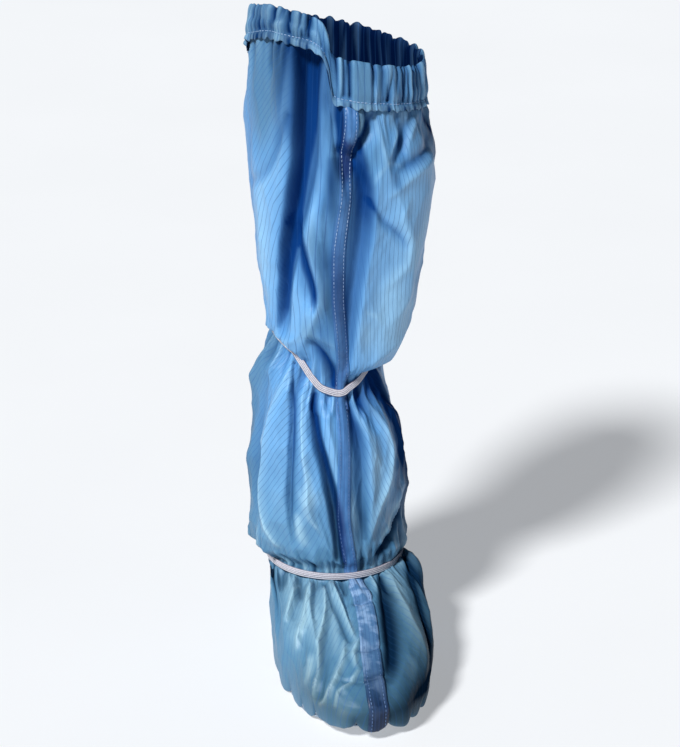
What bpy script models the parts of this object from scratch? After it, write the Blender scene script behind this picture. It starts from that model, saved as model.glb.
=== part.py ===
"""Anti-static boot cover: a knee-high cloth cover, gathered by two elastics, on a soft sole.

Metres, +Z up. The cover stands on its sole with the toe towards -Y, and the wearer's right side is at -X.
The origin lies on the floor under the axis of the leg.
"""

import math
from collections import namedtuple

import bmesh
import bpy
import numpy as np

MM = 0.001

# Cloth, hem, elastics and seams
CLOTH_WALL = 1.0 * MM
SEAT_GAP = 0.3 * MM  # clearance between pieces that lie on each other
CASING_HEIGHT = 40 * MM  # the hem at the collar that holds the top elastic
CASING_WALL = 2.4 * MM
CALF_ELASTIC_HEIGHT = 259 * MM
ANKLE_ELASTIC_HEIGHT = 76 * MM
ELASTIC_WIDTH = 8 * MM
ELASTIC_WALL = 1.4 * MM
SEAM_WALL = 0.8 * MM
SEAM_WIDTH = 11 * MM
TOE_SEAM_WIDTH = 18 * MM  # the front seam widens to this at the toe

# Foot and sole
HEEL_REACH = 72 * MM  # from the axis of the leg back to the end of the heel
INSOLE_WALL = 2 * MM
INSOLE_GAP = 0.5 * MM  # over the top of the sole
INSOLE_INSET = 9 * MM  # from the edge of the sole
UPPER_INSET = 3 * MM  # the upper is sewn down this far inside the edge of the sole
TOE_PUFF = 9 * MM  # the cloth stands out past the sole by this much
BALL_PUFF = 12 * MM
INNER_PUFF = 11 * MM  # the cloth swells under the ankle elastic on the inner side of the foot
OUTER_PUFF = 2 * MM
WIDEST_HEIGHT = 20 * MM  # above the top of the sole
VAMP_FALL = 0.50  # share of the instep's height lost on the way to the toe
TOE_BLUNTNESS = 5  # power of the curve over the toe
SIDE_BLUNTNESS = 2  # the same over the sides and the heel: a round
TREAD_DEPTH = 2 * MM
TREAD_WIDTH = 4 * MM
TREAD_PITCH = 12 * MM
HEEL_TREAD = (-18 * MM, 54 * MM)  # first and last groove, along Y
BALL_TREAD = (-180 * MM, -84 * MM)
TREAD_LENGTH = 200 * MM  # wider than the sole

# Mesh of the cloth and of the sole
COLUMNS_PER_SIDE = 21  # between the front seam and the back seam
SOLE_COLUMNS = 64
OUTLINE_STEPS = 24  # between two points of the sole's outline
SMOOTH_ANGLE = math.radians(40)

# The shaft from the collar down: reach from the axis of the leg to each side, in mm, at each height.
# side_slope and front_slope tilt the section: its height grows with x and with y by that share.
Section = namedtuple("Section", "height left right front back side_slope front_slope")
SHAFT_SECTIONS = [
    Section(535, 65, 73, 63, 62, -0.18, -0.10),  # rim of the collar
    Section(495, 69, 75, 65, 64, -0.16, -0.08),  # hem stitches
    Section(432, 73, 84, 72, 76, -0.10, 0.00),  # fullest part below the knee
    Section(370, 68, 76, 68, 74, -0.10, 0.05),
    Section(315, 61, 69, 62, 68, -0.20, 0.16),
    Section(286, 56, 57, 56, 60, -0.30, 0.28),
    Section(263, 52, 32, 47, 49, -0.36, 0.34),  # calf elastic, upper edge
    Section(255, 52, 32, 47, 49, -0.36, 0.34),  # calf elastic, lower edge
    Section(232, 64, 46, 57, 57, -0.30, 0.26),
    Section(190, 72, 60, 64, 62, -0.12, 0.10),
    Section(140, 75, 62, 67, 62, 0.00, 0.02),  # fullest part above the ankle
    Section(92, 75, 62, 66, 61, 0.00, 0.00),
    Section(80, 58, 59, 61, 58, 0.00, 0.00),  # ankle elastic, upper edge
    Section(72, 58, 59, 61, 58, 0.00, 0.00),  # ankle elastic, lower edge
]

# The rows of the mesh: heights on the shaft in mm, then shares of the way from the ankle elastic to the
# widest line of the foot, then shares of the way from there under to the sole.
SHAFT_ROWS = [
    535, 515, 495, 476, 452, 425, 398, 370, 343, 317, 294, 276, 263, 255, 243, 227, 204, 176, 148, 120, 96, 80, 72,
]
FOOT_ROWS = [0.12, 0.26, 0.40, 0.54, 0.67, 0.79, 0.89, 0.96, 1.0]
UNDER_ROWS = [0.4, 0.75, 1.0]

# Main folds: degrees round from the toe towards +X at the upper and at the lower end, places of the two
# ends, half width and depth in mm. A negative depth is a ridge. On the shaft a place is a height in mm,
# on the foot a share of the way from the ankle elastic to the widest line.
Fold = namedtuple("Fold", "turn_top turn_end top end width depth")
SHAFT_FOLDS = [
    Fold(-24, -46, 560, 268, 13, 17),  # the deep pleat beside the front seam
    Fold(22, 10, 505, 262, 10, 9),
    Fold(-70, -62, 480, 300, 16, -5),
    Fold(52, 46, 500, 290, 18, -5),
    Fold(115, 108, 500, 275, 15, 9),
    Fold(168, 158, 520, 270, 14, 10),
    Fold(-120, -112, 510, 285, 16, 9),
    Fold(-13, -11, 252, 88, 8, 9),
    Fold(-42, -38, 246, 96, 11, 6),
    Fold(28, 34, 250, 100, 9, 7),
    Fold(85, 98, 246, 92, 13, 7),
    Fold(150, 156, 240, 90, 13, 8),
    Fold(-105, -112, 248, 92, 14, 8),
]
FOOT_FOLDS = [
    Fold(-16, -12, 0.02, 0.80, 8, 5),
    Fold(-42, -34, 0.02, 0.85, 9, 5),
    Fold(40, 34, 0.02, 0.90, 10, 7),
    Fold(78, 70, 0.05, 0.90, 12, 4),
    Fold(-80, -72, 0.05, 0.90, 12, 4),
    Fold(140, 138, 0.02, 0.85, 11, 4),
    Fold(-140, -138, 0.02, 0.85, 11, 4),
]
FOLD_ENDS = 0.7  # below 1 a fold stays deep nearly to its ends

# How far the front seam strays from the middle, in degrees round, at each place.
Stray = namedtuple("Stray", "place turn")
SHAFT_STRAY = [Stray(535, 5), Stray(432, -3), Stray(330, -3), Stray(259, 5), Stray(140, 5), Stray(76, 9)]
FOOT_STRAY = [Stray(0.0, 9), Stray(0.5, 7), Stray(1.0, 6)]

# Outline of the right sole: distance across from the axis and along from the heel, in mm.
OutlinePoint = namedtuple("OutlinePoint", "across along")
SOLE_OUTLINE = [
    OutlinePoint(8, 280),  # toe
    OutlinePoint(38, 265),
    OutlinePoint(57, 208),  # ball, inner side
    OutlinePoint(44, 145),
    OutlinePoint(37, 92),  # arch
    OutlinePoint(37, 38),
    OutlinePoint(24, 9),
    OutlinePoint(0, 0),  # heel
    OutlinePoint(-24, 9),
    OutlinePoint(-37, 38),
    OutlinePoint(-42, 100),
    OutlinePoint(-50, 176),  # ball, outer side
    OutlinePoint(-37, 236),
    OutlinePoint(-15, 270),
]
HEEL_POINT = 7  # index of the heel in the outline

# Height of the underside over the floor and thickness of the sole, in mm, along from the heel.
SoleStation = namedtuple("SoleStation", "along clearance thickness")
SOLE_STATIONS = [
    SoleStation(0, 1.2, 8.5),
    SoleStation(14, 0, 8.5),  # heel stands on the floor
    SoleStation(84, 0, 8.5),
    SoleStation(112, 3.5, 5.0),  # arch
    SoleStation(140, 0, 7.0),  # forefoot stands on the floor
    SoleStation(222, 0, 7.0),
    SoleStation(280, 11, 5.5),  # toe spring
]

# Side of the sole from the floor up: distance out from the outline in mm, share of the thickness.
SidePoint = namedtuple("SidePoint", "out share")
SOLE_SIDE = [
    SidePoint(-2.5, 0.0),
    SidePoint(-0.4, 0.22),
    SidePoint(-0.4, 0.40),
    SidePoint(-1.6, 0.47),  # groove round the side
    SidePoint(-1.6, 0.60),
    SidePoint(0.0, 0.67),
    SidePoint(0.0, 0.90),
    SidePoint(-0.8, 1.0),
]

Finish = namedtuple("Finish", "colour roughness")
CLOTH_BLUE = Finish((0.13, 0.33, 0.66), 0.42)
SEAM_BLUE = Finish((0.12, 0.24, 0.56), 0.50)
ELASTIC_WHITE = Finish((0.82, 0.80, 0.82), 0.70)
SOLE_GREY = Finish((0.30, 0.36, 0.44), 0.65)
INSOLE_WHITE = Finish((0.70, 0.74, 0.78), 0.80)


def smooth(x, xs, ys):
    """A curve through the points (xs, ys) that never overshoots them, read at x. xs rises or falls."""
    xs, ys = np.asarray(xs, float), np.asarray(ys, float)
    if xs[0] > xs[-1]:
        xs, ys = xs[::-1], ys[::-1]
    step = np.diff(xs)
    slope = np.diff(ys) / step
    tangent = np.zeros(len(xs))
    for i in range(1, len(xs) - 1):
        if slope[i - 1] * slope[i] > 0:
            before = 2 * step[i] + step[i - 1]
            after = step[i] + 2 * step[i - 1]
            tangent[i] = (before + after) / (before / slope[i - 1] + after / slope[i])
    x = np.clip(x, xs[0], xs[-1])
    i = np.clip(np.searchsorted(xs, x) - 1, 0, len(xs) - 2)
    t = (x - xs[i]) / step[i]
    return (
        ys[i] * (1 + 2 * t) * (1 - t) ** 2
        + tangent[i] * step[i] * t * (1 - t) ** 2
        + ys[i + 1] * t * t * (3 - 2 * t)
        + tangent[i + 1] * step[i] * t * t * (t - 1)
    )


def trace_outline():
    """The sole's outline in plan: each point's share of the way round, the points and their normals.

    The share runs from 0 at the toe, by the +X side, to 0.5 at the heel and on to 1 at the toe again.
    """
    knots = np.array([(p.across * MM, HEEL_REACH - p.along * MM) for p in SOLE_OUTLINE])
    count = len(knots)
    points = []
    for i in range(count):
        before, start, end, after = (knots[(i + k) % count] for k in (-1, 0, 1, 2))
        for t in np.arange(OUTLINE_STEPS) / OUTLINE_STEPS:
            straight = 2 * start + (end - before) * t
            bend = (2 * before - 5 * start + 4 * end - after) * t**2
            turn = (3 * start - before - 3 * end + after) * t**3
            points.append(0.5 * (straight + bend + turn))
    points.append(points[0])
    points = np.array(points)
    along = np.concatenate([[0], np.cumsum(np.linalg.norm(np.diff(points, axis=0), axis=1))])
    heel = along[HEEL_POINT * OUTLINE_STEPS]
    shares = np.interp(along, [0, heel, along[-1]], [0, 0.5, 1])
    tangent = np.gradient(points, axis=0)
    tangent[0] = tangent[-1] = points[1] - points[-2]
    normals = np.stack([tangent[:, 1], -tangent[:, 0]], axis=1)
    normals /= np.linalg.norm(normals, axis=1)[:, None]
    return shares, points, normals, along[-1]


OUTLINE_SHARES, OUTLINE_POINTS, OUTLINE_NORMALS, SOLE_GIRTH = trace_outline()


def sole_outline(share, out=0.0):
    """Point of the sole's outline in plan at a share of the way round, moved out by a distance."""
    moved = OUTLINE_POINTS + out * OUTLINE_NORMALS
    share = np.mod(share, 1.0)
    return np.array([np.interp(share, OUTLINE_SHARES, moved[:, k]) for k in range(2)])


def sole_height(y, share):
    """Height inside the sole at a place along Y: share 0 is the underside, 1 the top."""
    along = (HEEL_REACH - y) / MM
    stations = [s.along for s in SOLE_STATIONS]
    clearance = smooth(along, stations, [s.clearance for s in SOLE_STATIONS])
    thickness = smooth(along, stations, [s.thickness for s in SOLE_STATIONS])
    return (clearance + share * thickness) * MM


def shaft_section(height):
    """The section's sizes at a height, in metres but for the slopes."""
    heights = [s.height for s in SHAFT_SECTIONS]
    columns = [[s[k] for s in SHAFT_SECTIONS] for k in range(1, len(Section._fields))]
    left, right, front, back, side, fore = (smooth(height / MM, heights, column) for column in columns)
    return Section(height, left * MM, right * MM, front * MM, back * MM, side, fore)


def shaft_girth(height):
    section = shaft_section(height)
    return math.pi / 2 * (section.left + section.right + section.front + section.back)


def shaft_point(height, turn, sink=0.0):
    """Point on the shaft: turn is the angle round from the toe towards +X, sink moves it inwards."""
    section = shaft_section(height)
    across = section.right if math.sin(turn) > 0 else section.left
    deep = section.front if math.cos(turn) > 0 else section.back
    x = (across - sink) * math.sin(turn)
    y = -(deep - sink) * math.cos(turn)
    return np.array([x, y, height + section.side_slope * x + section.front_slope * y])


def foot_point(share, under, turn, sink=0.0):
    """Point on the foot: share 0 is the ankle elastic, 1 the widest line, under 1 the edge on the sole."""
    round_share = turn / math.tau
    ankle = shaft_point(SHAFT_ROWS[-1] * MM, turn)
    frontness = max(0.0, math.cos(turn)) ** 1.5
    puff = TOE_PUFF + (BALL_PUFF - TOE_PUFF) * abs(math.sin(turn))
    wide = sole_outline(round_share, puff - sink)
    wide_height = sole_height(wide[1], 1.0) + WIDEST_HEIGHT
    out = math.sin(share * math.pi / 2)
    blunt = SIDE_BLUNTNESS + (TOE_BLUNTNESS - SIDE_BLUNTNESS) * frontness
    fall = (1 - VAMP_FALL * frontness * out) * (1 - out**blunt) ** (1 / SIDE_BLUNTNESS)
    swell = (INNER_PUFF if math.sin(turn) > 0 else OUTER_PUFF) * math.sin(turn)
    plan = ankle[:2] + (wide - ankle[:2]) * out
    plan[0] += swell * math.sin(share * math.pi)
    height = wide_height + (ankle[2] - sink - wide_height) * fall
    if under:
        edge = sole_outline(round_share, -UPPER_INSET)
        edge_height = sole_height(edge[1], 1.0) + SEAT_GAP
        plan = plan + (edge - plan) * (1 - math.cos(under * math.pi / 2))
        height = height + (edge_height - height) * math.sin(under * math.pi / 2)
    return np.array([plan[0], plan[1], height])


def fold_depth(folds, place, turn, girth):
    """How far the folds push the cloth in at a place down the shaft or foot and a turn round it."""
    depth = 0.0
    for fold in folds:
        way = (place - fold.top) / (fold.end - fold.top)
        if not 0 < way < 1:
            continue
        centre = math.radians(fold.turn_top + (fold.turn_end - fold.turn_top) * way)
        off = (turn - centre + math.pi) % math.tau - math.pi
        across = off * girth / math.tau / (fold.width * MM)
        depth += fold.depth * MM * math.exp(-across * across) * math.sin(way * math.pi) ** FOLD_ENDS
    return depth


def row_turns(stray, front_width, girth):
    """Angles of a row's points, from the middle of the front seam round by +X to the seam's other edge.

    Each seam has three columns: a middle and two edges.
    """
    front = math.radians(stray)
    front_half = math.pi * front_width / girth
    back_half = math.pi * SEAM_WIDTH / girth
    right = np.linspace(front + front_half, math.pi - back_half, COLUMNS_PER_SIDE)
    left = np.linspace(math.pi + back_half, math.tau + front - front_half, COLUMNS_PER_SIDE)
    return np.concatenate([[front], right, [math.pi], left])


FRONT_SEAM_COLUMNS = [2 * COLUMNS_PER_SIDE + 1, 0, 1]
BACK_SEAM_COLUMNS = [COLUMNS_PER_SIDE, COLUMNS_PER_SIDE + 1, COLUMNS_PER_SIDE + 2]


def shaft_row(height):
    girth = shaft_girth(height * MM)
    turns = row_turns(smooth(height, *zip(*SHAFT_STRAY)), SEAM_WIDTH, girth)
    return [shaft_point(height * MM, turn, fold_depth(SHAFT_FOLDS, height, turn, girth)) for turn in turns]


def foot_row(share, under):
    ankle_girth = shaft_girth(SHAFT_ROWS[-1] * MM)
    girth = ankle_girth + (SOLE_GIRTH - ankle_girth) * share
    width = SEAM_WIDTH + (TOE_SEAM_WIDTH - SEAM_WIDTH) * share
    turns = row_turns(smooth(share, *zip(*FOOT_STRAY)), width, girth)
    return [foot_point(share, under, turn, fold_depth(FOOT_FOLDS, share, turn, girth)) for turn in turns]


def cloth_grid():
    """Points of the cloth's outer face, row by row and column by column, and their outward normals."""
    rows = [shaft_row(height) for height in SHAFT_ROWS]
    rows += [foot_row(share, 0.0) for share in FOOT_ROWS]
    rows += [foot_row(1.0, under) for under in UNDER_ROWS]
    grid = np.array(rows)
    down = np.gradient(grid, axis=0)
    across = np.roll(grid, -1, axis=1) - np.roll(grid, 1, axis=1)
    normals = np.cross(down, across)
    normals /= np.linalg.norm(normals, axis=2)[:, :, None]
    return grid, normals


def finish_material(name, finish):
    material = bpy.data.materials.new(name)
    material.use_nodes = True
    shader = material.node_tree.nodes["Principled BSDF"]
    shader.inputs["Base Color"].default_value = (*finish.colour, 1)
    shader.inputs["Roughness"].default_value = finish.roughness
    shader.inputs["Metallic"].default_value = 0
    return material


def make_object(name, points, faces, finish):
    mesh = bpy.data.meshes.new(name)
    mesh.from_pydata([tuple(p) for p in points], [], faces)
    mesh.materials.append(finish_material(name + "_finish", finish))
    made = bpy.data.objects.new(name, mesh)
    bpy.context.scene.collection.objects.link(made)
    edit = bmesh.new()
    edit.from_mesh(mesh)
    bmesh.ops.recalc_face_normals(edit, faces=edit.faces)
    edit.to_mesh(mesh)
    edit.free()
    mesh.shade_smooth()
    mesh.set_sharp_from_angle(angle=SMOOTH_ANGLE)
    return made


def quad(a, b, c, d):
    """Two triangles of a four-sided face, always cut the same way."""
    return [(a, b, c), (a, c, d)]


def shell(name, outer, inner, ring, finish):
    """Closed solid between two grids of the same size. A ring joins its last column to its first."""
    rows, columns = outer.shape[:2]
    points = np.concatenate([outer.reshape(-1, 3), inner.reshape(-1, 3)])
    inside = rows * columns
    low = inside - columns
    faces = []
    for j in range(columns if ring else columns - 1):
        k = (j + 1) % columns
        for top in range(0, low, columns):
            a, b, c, d = top + j, top + columns + j, top + columns + k, top + k
            faces += quad(a, b, c, d)
            faces += quad(a + inside, b + inside, c + inside, d + inside)
        faces += quad(j, k, k + inside, j + inside)
        faces += quad(low + j, low + k, low + k + inside, low + j + inside)
    if not ring:
        for j in (0, columns - 1):
            for top in range(0, low, columns):
                a, b = top + j, top + columns + j
                faces += quad(a, b, b + inside, a + inside)
    return make_object(name, points, faces, finish)


def row_index(height):
    """Index of the cloth's row at a height of the shaft."""
    return SHAFT_ROWS.index(round(height / MM))


HEM_ROW = row_index(SHAFT_ROWS[0] * MM - CASING_HEIGHT)


def make_upper(grid, normals):
    shell("upper", grid, grid - normals * CLOTH_WALL, True, CLOTH_BLUE)


def make_casing(grid, normals):
    """The doubled hem at the collar, laid outside the cloth from the rim to the hem stitches."""
    inner = grid[: HEM_ROW + 1] + normals[: HEM_ROW + 1] * SEAT_GAP
    outer = inner + normals[: HEM_ROW + 1] * CASING_WALL
    shell("collar_casing", outer, inner, True, CLOTH_BLUE)


def make_elastic(name, height, grid, normals):
    """A flat elastic round the shaft, lifted over both seams."""
    rows = slice(row_index(height + ELASTIC_WIDTH / 2), row_index(height - ELASTIC_WIDTH / 2) + 1)
    lift = np.full((1, grid.shape[1], 1), SEAT_GAP)
    lift[:, FRONT_SEAM_COLUMNS + BACK_SEAM_COLUMNS] += SEAM_WALL + SEAT_GAP
    inner = grid[rows] + normals[rows] * lift
    outer = inner + normals[rows] * ELASTIC_WALL
    shell(name, outer, inner, True, ELASTIC_WHITE)


def make_seam(name, columns, grid, normals):
    """The flat seam from under the casing down to the widest line of the foot."""
    rows = slice(HEM_ROW + 1, len(SHAFT_ROWS) + len(FOOT_ROWS))
    inner = grid[rows, columns] + normals[rows, columns] * SEAT_GAP
    outer = inner + normals[rows, columns] * SEAM_WALL
    shell(name, outer, inner, False, SEAM_BLUE)


def ladder(count, start):
    """Triangles that fill a ring of points by rungs from one side to the other."""
    faces = [(start, start + 1, start + count - 1)]
    for i in range(1, count // 2 - 1):
        faces += quad(start + i, start + i + 1, start + count - i - 1, start + count - i)
    heel = start + count // 2
    faces.append((heel - 1, heel, heel + 1))
    return faces


def stacked(name, rings, finish):
    """Closed solid from rings of the same count, the lowest first, with both ends filled."""
    count = len(rings[0])
    faces = ladder(count, 0) + ladder(count, (len(rings) - 1) * count)
    for low in range(0, (len(rings) - 1) * count, count):
        for j in range(count):
            k = (j + 1) % count
            faces += quad(low + j, low + k, low + k + count, low + j + count)
    return make_object(name, np.concatenate(rings), faces, finish)


def sole_ring(out, share, lift=0.0):
    """Points round the sole at a distance out from its outline and a share of its thickness."""
    x, y = sole_outline(np.arange(SOLE_COLUMNS) / SOLE_COLUMNS, out)
    return np.stack([x, y, sole_height(y, share) + lift], axis=1)


def make_outsole():
    outsole = stacked("outsole", [sole_ring(side.out * MM, side.share) for side in SOLE_SIDE], SOLE_GREY)
    cut = outsole.modifiers.new("tread", "BOOLEAN")
    cut.operation = "DIFFERENCE"
    cut.object = tread_cutter()


def tread_cutter():
    """Cross grooves under the heel and the forefoot; the lands between them are the lugs."""
    edit = bmesh.new()
    for first, last in (HEEL_TREAD, BALL_TREAD):
        for k in range(round((last - first) / TREAD_PITCH) + 1):
            y = first + k * TREAD_PITCH
            top = sole_height(y, 0.0) + TREAD_DEPTH
            for vertex in bmesh.ops.create_cube(edit, size=1)["verts"]:
                across, along, up = vertex.co
                height = top + (up - 0.5) * 4 * TREAD_DEPTH
                vertex.co = (across * TREAD_LENGTH, y + along * TREAD_WIDTH, height)
    mesh = bpy.data.meshes.new("tread_cutter")
    edit.to_mesh(mesh)
    edit.free()
    cutter = bpy.data.objects.new("tread_cutter", mesh)
    bpy.context.scene.collection.objects.link(cutter)
    cutter.hide_render = True
    cutter.display_type = "WIRE"
    return cutter


def make_insole():
    lower = sole_ring(-INSOLE_INSET, 1.0, INSOLE_GAP)
    stacked("insole", [lower, lower + np.array([0, 0, INSOLE_WALL])], INSOLE_WHITE)


def main():
    for old in list(bpy.data.objects):
        bpy.data.objects.remove(old)
    grid, normals = cloth_grid()
    make_upper(grid, normals)
    make_casing(grid, normals)
    make_elastic("calf_elastic", CALF_ELASTIC_HEIGHT, grid, normals)
    make_elastic("ankle_elastic", ANKLE_ELASTIC_HEIGHT, grid, normals)
    make_seam("front_seam", FRONT_SEAM_COLUMNS, grid, normals)
    make_seam("back_seam", BACK_SEAM_COLUMNS, grid, normals)
    make_outsole()
    make_insole()


main()
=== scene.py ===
import math

import bpy
import numpy as np
from mathutils import Matrix, Vector


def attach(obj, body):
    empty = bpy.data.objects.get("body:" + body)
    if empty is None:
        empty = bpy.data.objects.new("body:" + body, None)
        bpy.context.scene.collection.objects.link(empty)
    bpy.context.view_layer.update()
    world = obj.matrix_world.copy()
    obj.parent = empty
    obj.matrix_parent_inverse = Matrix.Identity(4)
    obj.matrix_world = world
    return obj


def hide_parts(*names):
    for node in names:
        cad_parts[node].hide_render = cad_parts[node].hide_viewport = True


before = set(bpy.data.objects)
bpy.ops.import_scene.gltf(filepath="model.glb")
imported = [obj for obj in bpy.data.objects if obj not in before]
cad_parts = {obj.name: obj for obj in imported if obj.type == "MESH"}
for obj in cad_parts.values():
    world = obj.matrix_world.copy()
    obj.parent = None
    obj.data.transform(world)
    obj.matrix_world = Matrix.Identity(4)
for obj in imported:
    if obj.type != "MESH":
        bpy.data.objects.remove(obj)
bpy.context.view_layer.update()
mm = 0.001
tau = 2 * math.pi
print("frame loaded")


# The cover's form, in mm and with the same sizes as the solids: reach from the leg's axis at each height.
legForm = {
    "height": [535, 495, 432, 370, 315, 286, 263, 255, 232, 190, 140, 92, 80, 72],
    "left": [65, 69, 73, 68, 61, 56, 52, 52, 64, 72, 75, 75, 58, 58],
    "right": [73, 75, 84, 76, 69, 57, 32, 32, 46, 60, 62, 62, 59, 59],
    "front": [63, 65, 72, 68, 62, 56, 47, 47, 57, 64, 67, 66, 61, 61],
    "back": [62, 64, 76, 74, 68, 60, 49, 49, 57, 62, 62, 61, 58, 58],
    "sideSlope": [-.18, -.16, -.10, -.10, -.20, -.30, -.36, -.36, -.30, -.12, 0, 0, 0, 0],
    "frontSlope": [-.10, -.08, 0, .05, .16, .28, .34, .34, .26, .10, .02, 0, 0, 0],
}
soleForm = {
    # the outline from the toe by the inner side and the heel to the outer side
    "across": [8, 38, 57, 44, 37, 37, 24, 0, -24, -37, -42, -50, -37, -15],
    "along": [280, 265, 208, 145, 92, 38, 9, 0, 9, 38, 100, 176, 236, 270],
    "heelPoint": 7,
    "heelReach": 72,
    "station": [0, 14, 84, 112, 140, 222, 280],  # along from the heel
    "clearance": [1.2, 0, 0, 3.5, 0, 0, 11],
    "thickness": [8.5, 8.5, 8.5, 5.0, 7.0, 7.0, 5.5],
    "stepsPerPoint": 24,
}
footForm = {
    "top": 72,  # height of the lower edge of the ankle elastic
    "toePuff": 9, "ballPuff": 12, "innerPuff": 11, "outerPuff": 2,
    "outerDraw": 10, "outerDrawTurn": -44, "outerDrawSpread": 26,  # cloth drawn in beside the outer toe
    "widest": 20, "toeDrop": 8, "vampFall": 0.5, "toeBlunt": 4.5, "sideBlunt": 2,
    "inset": 3, "seatGap": 0.3, "frontFade": 1.5,
}
seamStray = {
    "height": [535, 490, 440, 417, 393, 364, 335, 315, 263, 231, 181, 135, 109, 76],
    "turn": [6, 6, 3, 2.5, 0.5, -1.5, -1.5, 0, 4, 4, 3, 2.5, 5, 9],
    "share": [0, 0.12, 0.28, 0.42, 0.6, 0.8, 1],
    "footTurn": [13, 11.5, 8.5, 6, 4.5, 4, 4.5],
}
# the collar is drawn up on the outer side: rise of hem and rim over the solids, in mm, at each turn
collarRise = {
    "turn": [-180, -120, -75, -45, -22, -13, -9, -5.5, -2, 40, 75, 120, 180],
    "hem": [0, 8, 32, 40, 39, 35, 26, -1, -4, -5, -4, -1, 0],
    "rim": [0, 3, 14, 19, 18, 14, 6, -8, -12, -14, -12, -5, 0],
    "foot": 420,  # the rise dies away down to this height, and sooner beside the step at the seam
    "stepTurn": -8, "stepSpread": 5, "stepFoot": 52,
}
# the calf elastic sags in front: rise of cloth and elastic at each turn
calfSag = {
    "turn": [-180, -120, -90, -60, -45, -35, -25, -15, -5, 6, 16, 30, 45, 70, 110, 150, 180],
    "rise": [0, 2, 6, 11, 12, 7, -1, -6, -5.5, -3, 2, 7, 12, 15, 9, 3, 0],
    "height": 259,
    "reach": 26,
}


def smoothCurve(x, xs, ys):
    # a curve through the points that never overshoots them
    xs, ys = np.asarray(xs, float), np.asarray(ys, float)
    if xs[0] > xs[-1]:
        xs, ys = xs[::-1], ys[::-1]
    step = np.diff(xs)
    slope = np.diff(ys) / step
    tangent = np.zeros(len(xs))
    for i in range(1, len(xs) - 1):
        if slope[i - 1] * slope[i] > 0:
            before = 2 * step[i] + step[i - 1]
            after = step[i] + 2 * step[i - 1]
            tangent[i] = (before + after) / (before / slope[i - 1] + after / slope[i])
    x = np.clip(x, xs[0], xs[-1])
    i = np.clip(np.searchsorted(xs, x) - 1, 0, len(xs) - 2)
    t = (x - xs[i]) / step[i]
    return (
        ys[i] * (1 + 2 * t) * (1 - t) ** 2
        + tangent[i] * step[i] * t * (1 - t) ** 2
        + ys[i + 1] * t * t * (3 - 2 * t)
        + tangent[i + 1] * step[i] * t * t * (t - 1)
    )


def smoothStep(x, low, high):
    t = np.clip((x - low) / (high - low), 0, 1)
    return t * t * (3 - 2 * t)


def wrapTurn(turn):
    return np.mod(turn + math.pi, tau) - math.pi


def traceOutline():
    lengthwise = soleForm["heelReach"] - np.array(soleForm["along"], float)
    knots = np.stack([np.array(soleForm["across"], float), lengthwise], axis=1)
    steps = soleForm["stepsPerPoint"]
    t = (np.arange(steps) / steps)[:, None]
    points = []
    for i in range(len(knots)):
        before, start, end, after = (knots[(i + k) % len(knots)] for k in (-1, 0, 1, 2))
        straight = 2 * start + (end - before) * t
        bend = (2 * before - 5 * start + 4 * end - after) * t**2
        turn = (3 * start - before - 3 * end + after) * t**3
        points.extend(0.5 * (straight + bend + turn))
    points = np.array(points + [points[0]])
    along = np.concatenate([[0], np.cumsum(np.linalg.norm(np.diff(points, axis=0), axis=1))])
    heel = along[soleForm["heelPoint"] * steps]
    shares = np.interp(along, [0, heel, along[-1]], [0, 0.5, 1])
    tangent = np.gradient(points, axis=0)
    tangent[0] = tangent[-1] = points[1] - points[-2]
    normals = np.stack([tangent[:, 1], -tangent[:, 0]], axis=1)
    return shares, points, normals / np.linalg.norm(normals, axis=1)[:, None]


outlineShares, outlinePoints, outlineNormals = traceOutline()


def soleOutline(share, out):
    share = np.mod(share, 1.0)
    point = [np.interp(share, outlineShares, outlinePoints[:, k]) for k in range(2)]
    normal = [np.interp(share, outlineShares, outlineNormals[:, k]) for k in range(2)]
    return point[0] + out * normal[0], point[1] + out * normal[1]


def soleHeight(y, share):
    along = soleForm["heelReach"] - y
    clearance = smoothCurve(along, soleForm["station"], soleForm["clearance"])
    return clearance + share * smoothCurve(along, soleForm["station"], soleForm["thickness"])


def clothLift(height, turn):
    degrees = np.degrees(wrapTurn(turn))
    hem = smoothCurve(degrees, collarRise["turn"], collarRise["hem"])
    rim = smoothCurve(degrees, collarRise["turn"], collarRise["rim"])
    top, hemHeight = legForm["height"][:2]
    beside = np.exp(-(((degrees - collarRise["stepTurn"]) / collarRise["stepSpread"]) ** 2))
    below = hem * smoothStep(height, collarRise["foot"] + collarRise["stepFoot"] * beside, hemHeight)
    sag = smoothCurve(degrees, calfSag["turn"], calfSag["rise"])
    sag = sag * np.exp(-(((height - calfSag["height"]) / calfSag["reach"]) ** 2))
    return below + (rim - hem) * smoothStep(height, hemHeight, top) + sag


def shaftPoint(height, turn):
    size = {key: smoothCurve(height, legForm["height"], legForm[key]) for key in legForm if key != "height"}
    x = np.where(np.sin(turn) > 0, size["right"], size["left"]) * np.sin(turn)
    y = -np.where(np.cos(turn) > 0, size["front"], size["back"]) * np.cos(turn)
    z = height + size["sideSlope"] * x + size["frontSlope"] * y + clothLift(height, turn)
    return np.stack([x, y, z], axis=-1)


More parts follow.
